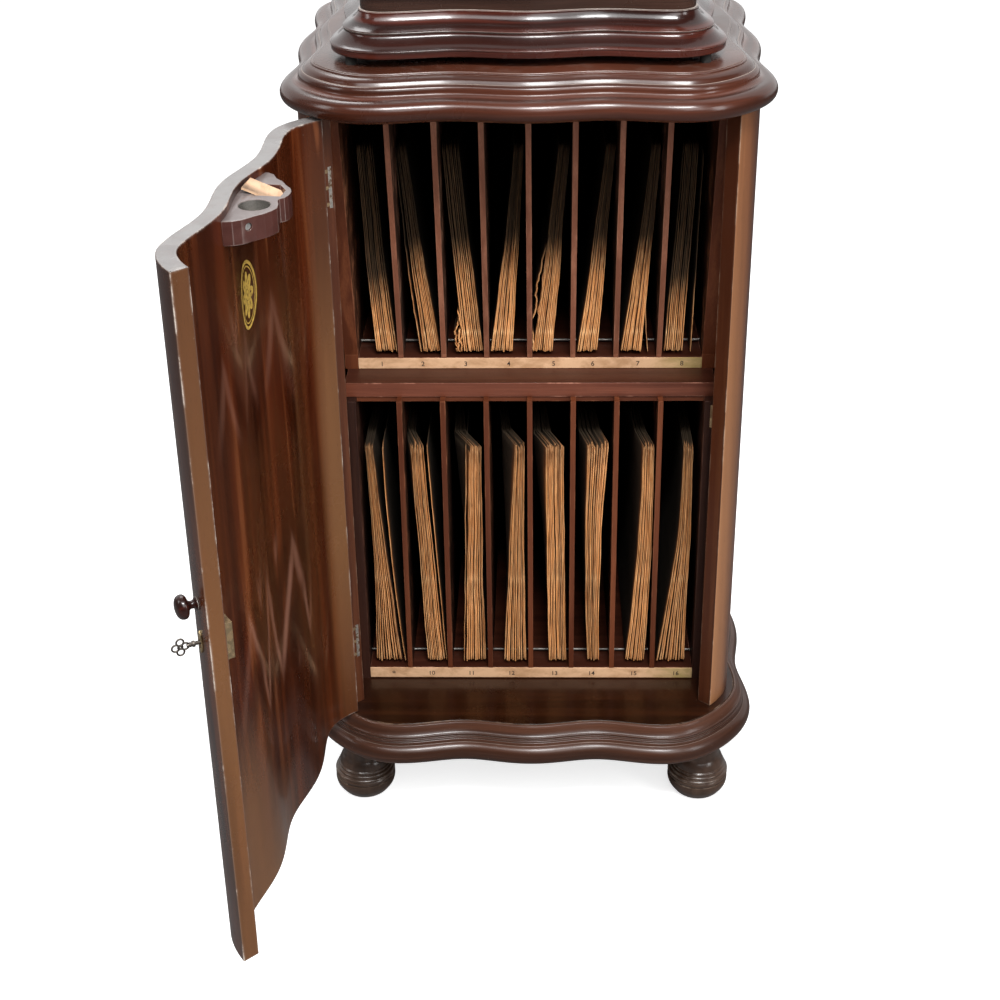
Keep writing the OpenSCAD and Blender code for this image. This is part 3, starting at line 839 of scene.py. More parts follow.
@dataclass(frozen=True)
class Plan:
    """The serpentine plan: a wave along each side and a rounded corner between sides, in millimetres."""

    half: float = 246.6
    crest: float = 161.2
    wave: float = 4.56
    flat: float = 0.05

    def along(self, x: float, offset: float) -> Pair:
        """Finds a point of the front side.

        Args:
            x: where along the side.
            offset: how far it is moved out.

        Returns:
            The point.
        """
        k = CIRCLE / self.crest
        slope = self.wave * k * math.sin(k * x)
        size = math.hypot(slope, 1)
        return (x + offset * slope / size, -(self.half - self.wave + self.wave * math.cos(k * x)) - offset / size)

    def corner(self, degrees: float, offset: float) -> Pair:
        """Finds a point of the front right corner.

        Args:
            degrees: its angle from +X.
            offset: how far it is moved out.

        Returns:
            The point.
        """
        a = math.radians(degrees)
        full = self.half - self.crest
        r = full * (1 - self.flat * math.sin(2 * a) ** 2)
        d = -full * self.flat * 2 * math.sin(4 * a)
        nx, ny = r * math.cos(a) + d * math.sin(a), r * math.sin(a) - d * math.cos(a)
        size = math.hypot(nx, ny)
        return (self.crest + r * math.cos(a) + offset * nx / size, -self.crest + r * math.sin(a) + offset * ny / size)

    def side(self, offset: float, waves: int) -> list[Pair]:
        """Points along the front side without its last one."""
        return [self.along(-self.crest + 2 * self.crest * i / waves, offset) for i in range(waves)]

    def loop(self, offset: float) -> list[Pair]:
        """The whole plan as a closed loop that starts at the rear of the left side.

        Args:
            offset: how far it is moved out.

        Returns:
            Its points.
        """
        side = self.side(offset, LOOP_WAVES)
        side += [self.corner(-90 + 90 * i / CORNER_STEPS, offset) for i in range(CORNER_STEPS)]
        return [turned(p, 90 * k) for k in (3, 0, 1, 2) for p in side]

    def wall(self, ends: tuple[Pair, Pair], gap: float) -> list[Pair]:
        """Outline of one wall from mitre to mitre, for the front side.

        Args:
            ends: corner angles of the (outer, inner) arris of the left end, then of the right end.
            gap: how far each end is held back.

        Returns:
            The closed outline.
        """
        back = math.degrees(gap / (self.half - self.crest))

        def bend(end: float, offset: float) -> list[Pair]:
            """Points of a corner from the wave to a mitre."""
            steps = range(CORNER_STEPS + 1)
            return [self.corner(-90 + (end - back + 90) * i / CORNER_STEPS, offset) for i in steps]

        faces = []
        for face, offset in enumerate((0, -THICK)):
            left = [(-x, y) for x, y in reversed(bend(ends[0][face], offset))]
            faces.append(left + self.side(offset, WALL_WAVES)[1:] + bend(ends[1][face], offset))
        return faces[0] + faces[1][::-1]


CABINET = Plan()
CASE = Plan(half=175.5, crest=151.5, flat=0.0)
HINGE_AT, HINGE_IN, LOCK_AT = -42.45, -43.5, -57.9  # corner angles of the door's mitre arrises and of its knob


def sweep(name: str, plan: Plan, profile: Sequence[Pair], lift: float, ring: bool = False) -> Obj:
    """Sweeps a profile of (offset, height) round a plan.

    Args:
        name: piece name.
        plan: the plan it follows.
        profile: its points.
        lift: height added to every point.
        ring: True for a ring whose profile closes, False for a solid board.

    Returns:
        The piece.
    """
    rings = [plan.loop(offset) for offset, _ in profile]
    points = [(x * MM, y * MM, (z + lift) * MM) for loop, (_, z) in zip(rings, profile) for x, y in loop]
    grain = [(down * MM, 0.02, run * MM) for loop, down in zip(rings, lengths(profile)) for run in lengths(loop)]
    return solid(name, points, tube(len(rings), len(rings[0]), ring=ring), grain)


def wall(name: str, outline: Sequence[Pair], low: float, high: float, radius: float, side: int) -> Obj:
    """A wall of one outline with eased arrises, its grain upright.

    Args:
        name: piece name.
        outline: closed outline of the front wall.
        low: height of the lower end.
        high: height of the upper end.
        radius: how far the arrises are eased.
        side: quarter turns from the front, 0 to 3.

    Returns:
        The piece.
    """
    reach = 1.4
    outline = braced(soften(outline, radius * 1.2, True, 3, 30), reach)
    size = len(outline)
    normals = []
    for i in range(size):
        a, b = outline[i - 1], outline[(i + 1) % size]
        dx, dy = b[0] - a[0], b[1] - a[1]
        d = math.hypot(dx, dy) or 1.0
        normals.append((dy / d, -dx / d))
    levels = [(low, radius + reach), (low, radius), (low + radius * 0.12, radius * 0.45)]
    levels += [(low + radius * 0.45, radius * 0.12), (low + radius, 0.0), (low + radius + reach, 0.0)]
    middle = [(low + (high - low) * k / 6, 0.0) for k in range(1, 6)]
    levels += middle + [(low + high - z, inset) for z, inset in reversed(levels)]
    points, grain = [], []
    for height, inset in levels:
        for p, n, run in zip(outline, normals, lengths(outline)):
            x, y = turned((p[0] - n[0] * inset, p[1] - n[1] * inset), 90 * side)
            points.append((x * MM, y * MM, height * MM))
            grain.append((run * MM, 0.013 * side, height * MM))
    faces = tube(len(levels), size)[:-2]
    for base in (0, (len(levels) - 1) * size):
        flat = [Vector((x, y, 0.0)) for x, y, _ in points[base:base + size]]
        faces += [tuple(base + i for i in corner) for corner in tessellate_polygon([flat])]
    return solid(name, points, faces, grain)


def side_fade(x: float, z: float, facing: float) -> float:
    """How much painted light a side wall's outer face takes at a point: more where it faces the front, less towards the
    top as painted shade.
    """
    shade = 0.12 + 0.88 * unit((0.8 - z) / 0.16) if x < 0 else 0.45 + 0.55 * unit((0.85 - z) / 0.45)
    return unit((facing - 0.3) / 0.45) * shade


def door_fade(x: float, z: float, facing: float, normal: float) -> float:
    """How much painted light the door takes at a point: where it faces the front while open, near its foot, and in a
    narrow upright streak.

    Args:
        x: where it is on the shut door.
        z: its height.
        facing: how much it faces the front while the door is open.
        normal: how much it faces the rear while the door is shut.

    Returns:
        The share, 0 to 1.
    """
    outside = normal < -0.15
    front = unit((facing - 0.52) / 0.2) * (0.55 if outside else 1.0)
    if x < 0:
        front *= (0.08 + 0.92 * unit((0.8 - z) / 0.2)) * (0.3 + 0.7 * unit((z - 0.2) / 0.1))
    else:
        front *= 0.5 + 0.5 * unit((0.85 - z) / 0.4)
    reach = 0.15 + 0.28 * unit((x + 0.03) / 0.2)
    foot = 0.0 if outside else unit((reach - z) / 0.13) * 0.95
    streak = 0.75 * peak(x, 0.166, 0.0065) * unit((0.78 - z) / 0.15) if normal > 0.2 else 0.0
    return min(1.0, max(front, foot, streak))


def weather(obj: Obj, turn: Matrix | None = None) -> None:
    """Stores painted light, painted shade on inward faces and a painted pale-grey reflection on the top of a wall.

    Args:
        obj: the wall.
        turn: how the door stands open, None for a side wall.
    """
    mesh = obj.data
    faded, pall, dim = [], [], []
    top = max(v.co.z for v in mesh.vertices)
    for vert in mesh.vertices:
        x, _, z = vert.co
        facing = -((turn or Matrix.Identity(4)).to_3x3() @ vert.normal).y
        inward = turn is None and vert.normal.x * x < 0.03
        if turn:
            faded.append(door_fade(x, z, facing, vert.normal.y))
        else:
            faded.append(0.0 if inward else side_fade(x, z, facing))
        # Inward faces that face the front get painted shade.
        dim.append((0.5 if x > 0 else 0.25) if inward and facing > 0.3 else 0.0)
        # The top face gets a painted pale-grey reflection.
        pall.append(1.0 if z > top - 0.0001 else 0.0)
    store(mesh, faded=faded, pall=pall, dim=dim)


def dull_top(obj: Obj) -> None:
    """Marks the level tops of a piece for a painted pale-grey reflection.

    Args:
        obj: the piece.
    """
    level = {v for face in obj.data.polygons if face.normal.z > 0.99 for v in face.vertices}
    store(obj.data, pall=[0.55 if i in level else 0.0 for i in range(len(obj.data.vertices))])


def lathe(name: str, profile: Sequence[Pair], steps: int, place: Matrix) -> Obj:
    """Turns a profile about the local Z axis of a place.

    Args:
        name: piece name.
        profile: points of (height, radius).
        steps: points round it.
        place: where it stands.

    Returns:
        The piece.
    """
    angles = [CIRCLE * i / steps for i in range(steps)]
    local = [Vector((r * math.cos(a) * MM, r * math.sin(a) * MM, z * MM)) for z, r in profile for a in angles]
    return solid(name, [place @ p for p in local], tube(len(profile), steps), local)


def joined(name: str, pieces: Sequence[Obj]) -> Obj:
    """Joins meshes that share a plain finish into one piece.

    Args:
        name: piece name.
        pieces: the meshes, which are used up.

    Returns:
        The piece.
    """
    work = bmesh.new()
    for piece in pieces:
        piece.data.transform(piece.matrix_world)
        work.from_mesh(piece.data)
        bpy.data.objects.remove(piece)
    mesh = bpy.data.meshes.new(name)
    work.to_mesh(mesh)
    work.free()
    if "grain" in mesh.attributes:
        mesh.attributes.remove(mesh.attributes["grain"])
    return placed(name, mesh)


@dataclass
class Assembly:
    """A group of pieces that the frame carries."""

    frame: dict[str, dict[str, Obj]]
    finishes: Finishes
    made: list[str] = field(default_factory=list)

    def add(
        self, obj: Obj, look: str, body: str, slot: str, nodes: Sequence[str] = (),
        angle: float = 32.0, worn: bool = True,
    ) -> Obj:
        """Dresses a piece, rides it on a body and hides the CAD nodes it stands for.

        Args:
            obj: the piece.
            look: short name of its finish.
            body: the body.
            slot: not used.
            nodes: CAD nodes that it replaces.
            angle: sharpest bend in degrees that is still shaded smooth.
            worn: whether its arrises are marked.

        Returns:
            The piece.
        """
        mesh = obj.data
        mesh.shade_smooth()
        mesh.set_sharp_from_angle(angle=math.radians(angle))
        mesh.materials.append(self.finishes[look])
        if worn and "edge" not in mesh.attributes:
            mark_edges(mesh)
        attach(obj, body)
        if nodes:
            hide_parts(*nodes)
        self.made.append(obj.name)
        LOG.info("made %s", obj.name)
        return obj

    def eased(
        self, node: str, name: str, radius: float, way: Grain, look: str, slot: str,
        body: str = "cabinet", steps: int = 2,
    ) -> Obj:
        """Adds a new piece of a CAD node's shape with eased arrises.

        Args:
            node: the CAD node.
            name: name of the new piece.
            radius: bevel in millimetres.
            way: grain direction.
            look: short name of its finish.
            slot: its slot.
            body: its body.
            steps: bevel segments.

        Returns:
            The piece.
        """
        mesh = self.frame["nodes"][node].data.copy()
        mesh.name = name
        work = bmesh.new()
        work.from_mesh(mesh)
        bmesh.ops.remove_doubles(work, verts=work.verts, dist=1e-6)
        bmesh.ops.dissolve_limit(work, angle_limit=math.radians(1.5), verts=work.verts, edges=work.edges)
        sharp = [e for e in work.edges if len(e.link_faces) == 2 and e.calc_face_angle(0.0) > math.radians(30)]
        bmesh.ops.bevel(
            work, geom=sharp, offset=radius * MM, offset_type="OFFSET", segments=steps, profile=0.5,
            affect="EDGES", clamp_overlap=True,
        )
        broad = [f for f in work.faces if f.calc_area() > 2e-5 and min(e.calc_length() for e in f.edges) > 0.003]
        bmesh.ops.inset_individual(work, faces=broad, thickness=0.0009, use_even_offset=True)
        work.to_mesh(mesh)
        work.free()
        mesh.materials.clear()
        store_grain(mesh, [tuple(v.co[k] for k in way.value) for v in mesh.vertices])
        return self.add(placed(name, mesh), look, body, slot, [node])

    def dress(self, look: str, *nodes: str) -> None:
        """Gives kept CAD nodes a finish.

        Args:
            look: short name of the finish.
            *nodes: the CAD nodes.
        """
        for node in nodes:
            materials = self.frame["nodes"][node].data.materials
            materials.clear()
            materials.append(self.finishes[look])


# --------------------------------------------------------------------------
# Sub-assemblies
# --------------------------------------------------------------------------
@dataclass
class Base(Assembly):
    """Moulded base, its floor and the four turned feet."""

    foot_x: float = 210.5
    foot_y: float = 207.0

    def build(self) -> None:
        """Builds and dresses the base."""
        profile = [(8.6, -0.4), (10.2, 0.2), (12.2, -0.9)]
        profile += spline([(12.2, -0.9), (13.6, -3.4), (15.2, -7.0), (17.2, -10.0), (18.6, -11.3)])[1:]
        profile += arc(18.5, -13.0, 1.75, 80, -75, 7) + [(19.3, -15.3)] + arc(20.2, -17.1, 1.5, 85, -70, 6)
        profile += [(21.3, -18.9), (22.1, -20.6), (22.3, -22.4)]
        profile += arc(17.6, -35.3, 13.6, 66, -84, 26) + [(16.0, -48.9), (8.6, -48.9)]
        ring = sweep("base_moulding_ring", CABINET, soften(profile, 0.35, True), FLOOR_Z, True)
        self.add(ring, "plinth", "cabinet", "moulding_wood", ["base_moulding"])
        self.eased("base_floor", "base_floor_board", 0.2, Grain.ACROSS, "floor", "mahogany", steps=1)
        self.eased("base_frame", "base_under_frame", 0.6, Grain.ACROSS, "hidden", "dark_wood", steps=1)
        profile = [(0.0, 24.0), (0.4, 25.4)]
        profile += spline([(0.4, 25.4), (2.6, 29.0), (8, 33.0), (13, 36.0), (18, 37.3), (21.4, 37.4), (23.3, 36.9)])
        profile += arc(24.25, 36.2, 0.9, 180, 360, 4)[1:-1] + [(25.2, 36.8)]
        for ring_points, groove in (
            ([(25.2, 36.8), (26.4, 37.3), (28.0, 37.3), (29.2, 36.7)], [(29.9, 36.2), (30.5, 36.6)]),
            ([(30.5, 36.6), (31.6, 37.4), (33.2, 37.2), (34.4, 35.6)], [(34.9, 34.4), (35.5, 34.8)]),
            ([(35.5, 34.8), (36.5, 35.3), (37.9, 35.0), (39.0, 33.5)], [(39.5, 32.4), (40.1, 32.8)]),
            ([(40.1, 32.8), (41.1, 33.3), (42.3, 33.0), (43.2, 31.9)], [(43.7, 31.4)]),
        ):
            profile += spline(ring_points, 3) + groove
        bowl = [(43.7, 31.6), (46.5, 31.0), (50, 29.8), (53, 28.0), (55.6, 26.3), (60, 25.6), (70, 26.0), (82, 26.0)]
        profile += spline(bowl)
        feet = (("front_left", -1, -1), ("front_right", 1, -1), ("rear_left", -1, 1), ("rear_right", 1, 1))
        for name, sx, sy in feet:
            place = Matrix.Translation((sx * self.foot_x * MM, sy * self.foot_y * MM, 0))
            place @= Matrix.Rotation(0.9 * sx + 0.4 * sy, 4, "Z")
            foot = lathe(f"turned_foot_{name}", profile, 96, place)
            self.add(foot, "turned", "cabinet", "moulding_wood", [f"foot_{name}"])


@dataclass
class Carcass(Assembly):
    """Serpentine side and back panels."""

    front: Pair = (-47.55, -46.5)  # corner angles of the outer and inner arris
    rear: Pair = (-45.0, -45.0)

    def build(self) -> None:
        """Builds and dresses the panels."""
        for name, node, ends, side in (
            ("right_side_wall", "side_panel_right", (self.front, self.rear), 1),
            ("rear_wall", "back_panel", (self.rear, self.rear), 2),
            ("left_side_wall", "side_panel_left", (self.rear, self.front), 3),
        ):
            panel = wall(name, CABINET.wall(ends, 0.05), FLOOR_Z, FLOOR_Z + INSIDE_H, 0.7, side)
            weather(panel)
            self.add(panel, "carcass", "cabinet", "mahogany", [node])


@dataclass
class Cornice(Assembly):
    """Bullnose board and stepped moulding over the body."""

    lift: float = FLOOR_Z + INSIDE_H

    def build(self) -> None:
        """Builds and dresses the cornice."""
        board = [(-2.0, 0.0), (4.2, 0.0)] + arc(5.8, 11.7, 11.7, -82, 82, 30) + [(3.0, 23.4), (-2.0, 23.4)]
        bull = sweep("cornice_bullnose", CABINET, board, self.lift)
        self.add(bull, "moulding", "cabinet", "moulding_wood", ["cornice_board"])
        steps = [(3.2, 23.42), (1.0, 23.9), (-1.0, 25.0), (-2.3, 26.5), (-2.7, 28.0)]
        steps += spline([(-2.7, 28.6), (-2.8, 30.4), (-3.8, 32.6), (-5.2, 33.9), (-6.0, 34.3)]) + [(-7.2, 34.6)]
        steps += spline([(-7.2, 34.6), (-8.4, 36.2), (-10.2, 38.6), (-12.6, 40.2), (-15.2, 41.2), (-16.6, 41.7)])
        steps += arc(-17.7, 42.6, 1.1, 10, 120, 4) + [(-18.9, 43.9), (-19.2, 44.5), (-19.9, 44.7)]
        top = sweep("cornice_steps", CABINET, soften(steps, 0.35, False), self.lift)
        self.add(top, "moulding", "cabinet", "moulding_wood", ["cornice_moulding"])


@dataclass
class CaseFoot(Assembly):
    """The lower part of the gramophone's case, on four pads."""

    moulding_z: float = FLOOR_Z + 806.0
    wall_z: float = FLOOR_Z + 848.0
    deck_z: float = FLOOR_Z + 900.0

    def build(self) -> None:
        """Builds and dresses the case's foot."""
        profile = [(31.0, 0.0), (32.0, 0.3), (32.6, 1.2), (32.8, 6.2), (33.3, 6.9), (33.6, 7.6), (33.3, 8.5)]
        profile += spline([(32.6, 9.0), (29.6, 10.4), (25.6, 13.0), (21.8, 16.4), (19.2, 19.2), (18.2, 20.9)])
        profile += [(18.2, 22.6), (19.0, 23.1), (19.6, 23.8), (19.2, 24.6)]
        profile += spline([(18.6, 25.0), (14.4, 26.8), (9.6, 29.8), (5.8, 33.4), (3.4, 37.2), (2.4, 39.6)])
        profile += [(2.5, 40.4), (2.3, 41.3), (1.0, 42.0)]
        foot = sweep("case_stepped_moulding", CASE, soften(profile, 0.3, False), self.moulding_z)
        self.add(foot, "case_moulding", "cabinet", "moulding_wood", ["case_moulding"])
        body = sweep("case_serpentine_wall", CASE, [(0, 0), (0, 20), (0, 40), (0, 51.6), (-0.4, 52)], self.wall_z)
        self.add(body, "case", "cabinet", "mahogany", ["case_wall"])
        deck = sweep("case_plain_deck", CASE, [(0, 0.05), (0, 4.8), (-0.3, 5.6), (-1.2, 6.0)], self.deck_z)
        self.add(deck, "case", "cabinet", "mahogany", ["case_deck"])
        self.dress("felt", "case_pads")


@dataclass
class Rack(Assembly):
    """Two tiers of dividers with shelves, rods and numbered ivory strips."""

    figure_size: float = 8.4
    upper: tuple[float, ...] = (-175.1, -126.6, -75.8, -24.9, 28.3, 74.4, 127.6, 179.6)
    lower: tuple[float, ...] = (-173.5, -125.5, -75.0, -24.5, 29.8, 76.5, 129.6, 182.6)

    def build(self) -> None:
        """Builds and dresses the rack."""
        # The upper sides take the brighter divider wood and the floors the rail wood: painted light where they lie in
        # shade.
        for node, name, radius, way, look in (
            ("mid_shelf", "rack_rail", 0.5, Grain.ACROSS, "rail"),
            ("rack_sides_lower", "rack_lower_sides", 0.5, Grain.UP, "rack"),
            ("rack_sides_upper", "rack_upper_sides", 0.5, Grain.UP, "divider"),
            ("rack_floor_lower", "rack_lower_floor", 0.2, Grain.ACROSS, "rail"),
            ("rack_floor_upper", "rack_upper_floor", 0.2, Grain.ACROSS, "rail"),
            ("rack_top_lower", "rack_lower_top", 0.3, Grain.ACROSS, "divider"),
            ("rack_back", "rack_rear_board", 0.3, Grain.UP, "hidden"),
            ("dividers_lower", "rack_lower_dividers", 0.9, Grain.UP, "divider"),
            ("dividers_upper", "rack_upper_dividers", 0.9, Grain.UP, "divider_upper"),
        ):
            self.eased(node, name, radius, way, look, "dark_wood" if node == "rack_back" else "rack_wood")
        for tier in ("lower", "upper"):
            self.eased(f"label_strip_{tier}", f"ivory_strip_{tier}", 0.25, Grain.ACROSS, "ivory", "ivory_strip")
        self.dress("steel", "rods_lower", "rods_upper")
        for tier, places, first, depth, height in ((1, self.upper, 1, 52.5, 412.4), (2, self.lower, 9, 0.0, 5.4)):
            y, z = RACK_Y + depth - 0.03, FLOOR_Z + height
            figures = [self.figure(str(number), x, y, z) for number, x in enumerate(places, first)]
            self.add(joined(f"slot_figures_{tier}", figures), "ink", "cabinet", "ivory_strip")

    def figure(self, text: str, x: float, y: float, z: float) -> Obj:
        """A printed slot number as a thin mesh that faces the front.

        Args:
            text: the number.
            x: place across.
            y: place in depth.
            z: height of its foot.

        Returns:
            The mesh object.
        """
        curve = bpy.data.curves.new(f"figure_{text}", "FONT")
        curve.body, curve.align_x = text, "CENTER"
        curve.size, curve.extrude, curve.offset = self.figure_size * MM, 0.02 * MM, 0.09 * MM
        obj = placed(f"figure_{text}", curve)
        bpy.context.view_layer.update()
        mesh = bpy.data.meshes.new_from_object(obj.evaluated_get(bpy.context.evaluated_depsgraph_get()))
        bpy.data.objects.remove(obj)
        flat = placed(f"figure_mesh_{text}", mesh)
        flat.matrix_world = Matrix.Translation((x * MM, y * MM, z * MM)) @ Matrix.Rotation(QUARTER, 4, "X")
        return flat


@dataclass(frozen=True)
class Loose:
    """A single sheet away from its bundle: x at the bottom, middle and top, share of the height, half the thickness."""

    bottom: float
    middle: float
    top: float
    reach: float = 1.0
    crumple: float = 0.6
    half: float = 0.55

    def at(self, own: int, s: float) -> Pair:
        """Finds the sheet at one height.

        Args:
            own: phase of its noise.
            s: share of its height.

        Returns:
            x of its middle, and half its thickness.
        """
        pull = 2 * self.middle - 0.5 * (self.bottom + self.top)
        x = (1 - s) ** 2 * self.bottom + 2 * s * (1 - s) * pull + s * s * self.top
        x += self.crumple * (wobble(own * 1.7, s * 6.0, 1.3) + 0.5 * wobble(own, s * 21.0, 5.0)) * bulge(s) ** 0.5
        return x, self.half + 0.2 * wobble(own * 0.9, s * 17.0, 4.0)


@dataclass(frozen=True)
class Bundle:
    """Sleeved records that lean together in one slot, in millimetres.

    bow is the sideways bulge at mid height, flare how much faster the bundle
    widens towards its foot, and fan how far its back leans left per millimetre
    of depth at the top.
    """

    number: int
    bottom: Pair
    top: Pair
    count: int
    bow: float = 0.0
    flare: float = 1.3
    fan: float = 0.0
    packed: float = 0.62
    loose: tuple[Loose, ...] = ()

    def at(self, own: int, share: float, s: float) -> Pair:
        """Finds one sleeve at one height.

        Args:
            own: phase of its noise.
            share: its place across the bundle, 0 to 1.
            s: share of its height.

        Returns:
            x of its middle, and half its thickness.
        """
        spread = (1 - s) ** self.flare
        left, right = (t + (b - t) * spread for b, t in zip(self.bottom, self.top))
        if self.flare > 1:
            run = 0.5 * ((self.top[0] - self.bottom[0]) + (self.top[1] - self.bottom[1]))
            straight = 0.5 * ((self.top[0] - left) + (self.top[1] - right)) - run * (1 - s)
            left, right = left + straight, right + straight
        wide = right - left
        shared = wobble(self.number * 3.1, s * 4.0, 0.3) * 1.4
        alone = wobble(own * 1.7, s * 9.0, 1.3) * 0.55 * min(1.0, wide / self.count / 2.0)
        x = left + wide * share + self.bow * bulge(s) + (shared + alone) * (0.3 + 0.7 * bulge(s))
        swell = 1 + 0.35 * wobble(own * 0.9, s * 13.0, 4.0) + 0.2 * wobble(own * 0.7, s * 37.0, 9.0)
        return x, max(0.28, 0.5 * wide / (self.count + 2) * min(0.9, self.packed + 0.14) * swell)


@dataclass
class Stack:
    """The mesh of one bundle while it is built, between the clear x range of its slot."""

    rng: random.Random
    slot: Pair
    points: list[Triple] = field(default_factory=list)
    faces: Faces = field(default_factory=list)
    edge: list[float] = field(default_factory=list)
    shade: list[float] = field(default_factory=list)

    ROWS: ClassVar[int] = 44
    # One flank of a leaf: share of its thickness, distance behind the fold, how dark: painted shade that deepens behind
    # the fold.
    FLANK: ClassVar[tuple[Triple, ...]] = (
        (1.0, 40.0, 0.93), (1.0, 12.0, 0.78), (1.0, 3.2, 0.42), (0.84, 0.7, 0.12), (0.4, 0.1, 0.0),
    )

    def leaf(
        self, at: Callable[[float], Pair], own: int, depth: float, lift: float, tall: float,
        outer: Pair = (1.0, 1.0), fan: float = 0.0,
    ) -> None:
        """Adds a folded leaf with a worn, wavy fold in front that carries painted highlight bands, and sides that run
        back, painted darker with depth as shade.

        Args:
            at: gives x of the middle and half the thickness at a share of the height.
            own: phase of its noise.
            depth: distance of the fold from the rack's front plane.
            lift: height of the bottom.
            tall: its height.
            outer: how dark its left and its right side are painted: deeper painted shade between leaves, painted light
                on a lit side.
            fan: lean of its back at the top.
        """
        upper, last = depth > 40, self.ROWS - 1
        base = len(self.points)
        tone = self.rng.uniform(0.0, 0.42)
        corner = self.rng.uniform(1.5, 6.0) if self.rng.random() < 0.75 else self.rng.uniform(7, 14)
        foot = self.rng.uniform(0.8, 3.5)
        back = min(tall * 0.985, 252.0 if upper else 300.0)
        # Heights of painted highlight bands across the folds.
        bands = (0.1, 0.1) if upper else (0.4, 0.53)
        for t in (r / last for r in range(self.ROWS)):
            s = 0.45 * (0.5 - 0.5 * math.cos(math.pi * t)) + 0.55 * t
            x, half = at(s)
            near_top = max(0.0, 1 - (1 - s) * tall / corner)
            near_foot = max(0.0, 1 - s * tall / foot)
            y = depth + wobble(own * 2.3, s * 14.0, 8.0) + 0.5 * wobble(own, s * 45.0, 2.0)
            y += corner * (1 - math.sqrt(max(0.0, 1 - near_top * near_top))) + foot * 0.6 * near_foot * near_foot
            # The fold's worn brightness, with painted highlights near the foot and at those bands.
            fold_wear_and_highlight = 0.62 + 0.25 * peak(s, 0.02, 0.05) + sum(0.55 * peak(s, band, 0.012) for band in bands)
            # Painted shadow over the upper part of the upper tier, and painted shade at the top of the lower tier.
            if upper:
                start = (0.16 if abs(x) > 152 else 0.34) + 0.0012 * (x - self.slot[0])
                painted_shadow = 0.8 * unit((tall * s / 254.0 - start + 0.03 * wobble(own, s * 5.0, 0.7)) / 0.2)
            else:
                painted_shadow = 0.45 * max(0.0, (s - 0.9) / 0.1)
            rim = [(-half * 0.9, back, 1.0)] + [(-half * a, d, min(1.0, q * outer[0])) for a, d, q in self.FLANK]
            rim += [(half * a, d, min(1.0, q * outer[1])) for a, d, q in reversed(self.FLANK)]
            rim.append((half * 0.9, back, 1.0))
            for dx, dy, dark in rim:
                px = min(max(x + dx - fan * min(dy, 120) * s * s, self.slot[0]), self.slot[1])
                self.points.append((px * MM, (RACK_Y + y + dy) * MM, (FLOOR_Z + lift + tall * s) * MM))
                self.edge.append(max(0.0, max(0.0, 1 - dy / 1.5) * fold_wear_and_highlight * (0.7 + 0.6 * wobble(own, s * 25.0, dx))))
                # Painted shade behind the fold and between leaves, over each leaf's own tone, then the painted shadow.
                shade_and_tone = dark + (1 - dark) * tone
                self.shade.append(min(1.0, shade_and_tone + (1 - shade_and_tone) * painted_shadow))
        self.faces += tube(self.ROWS, 2 * len(self.FLANK) + 2, base)


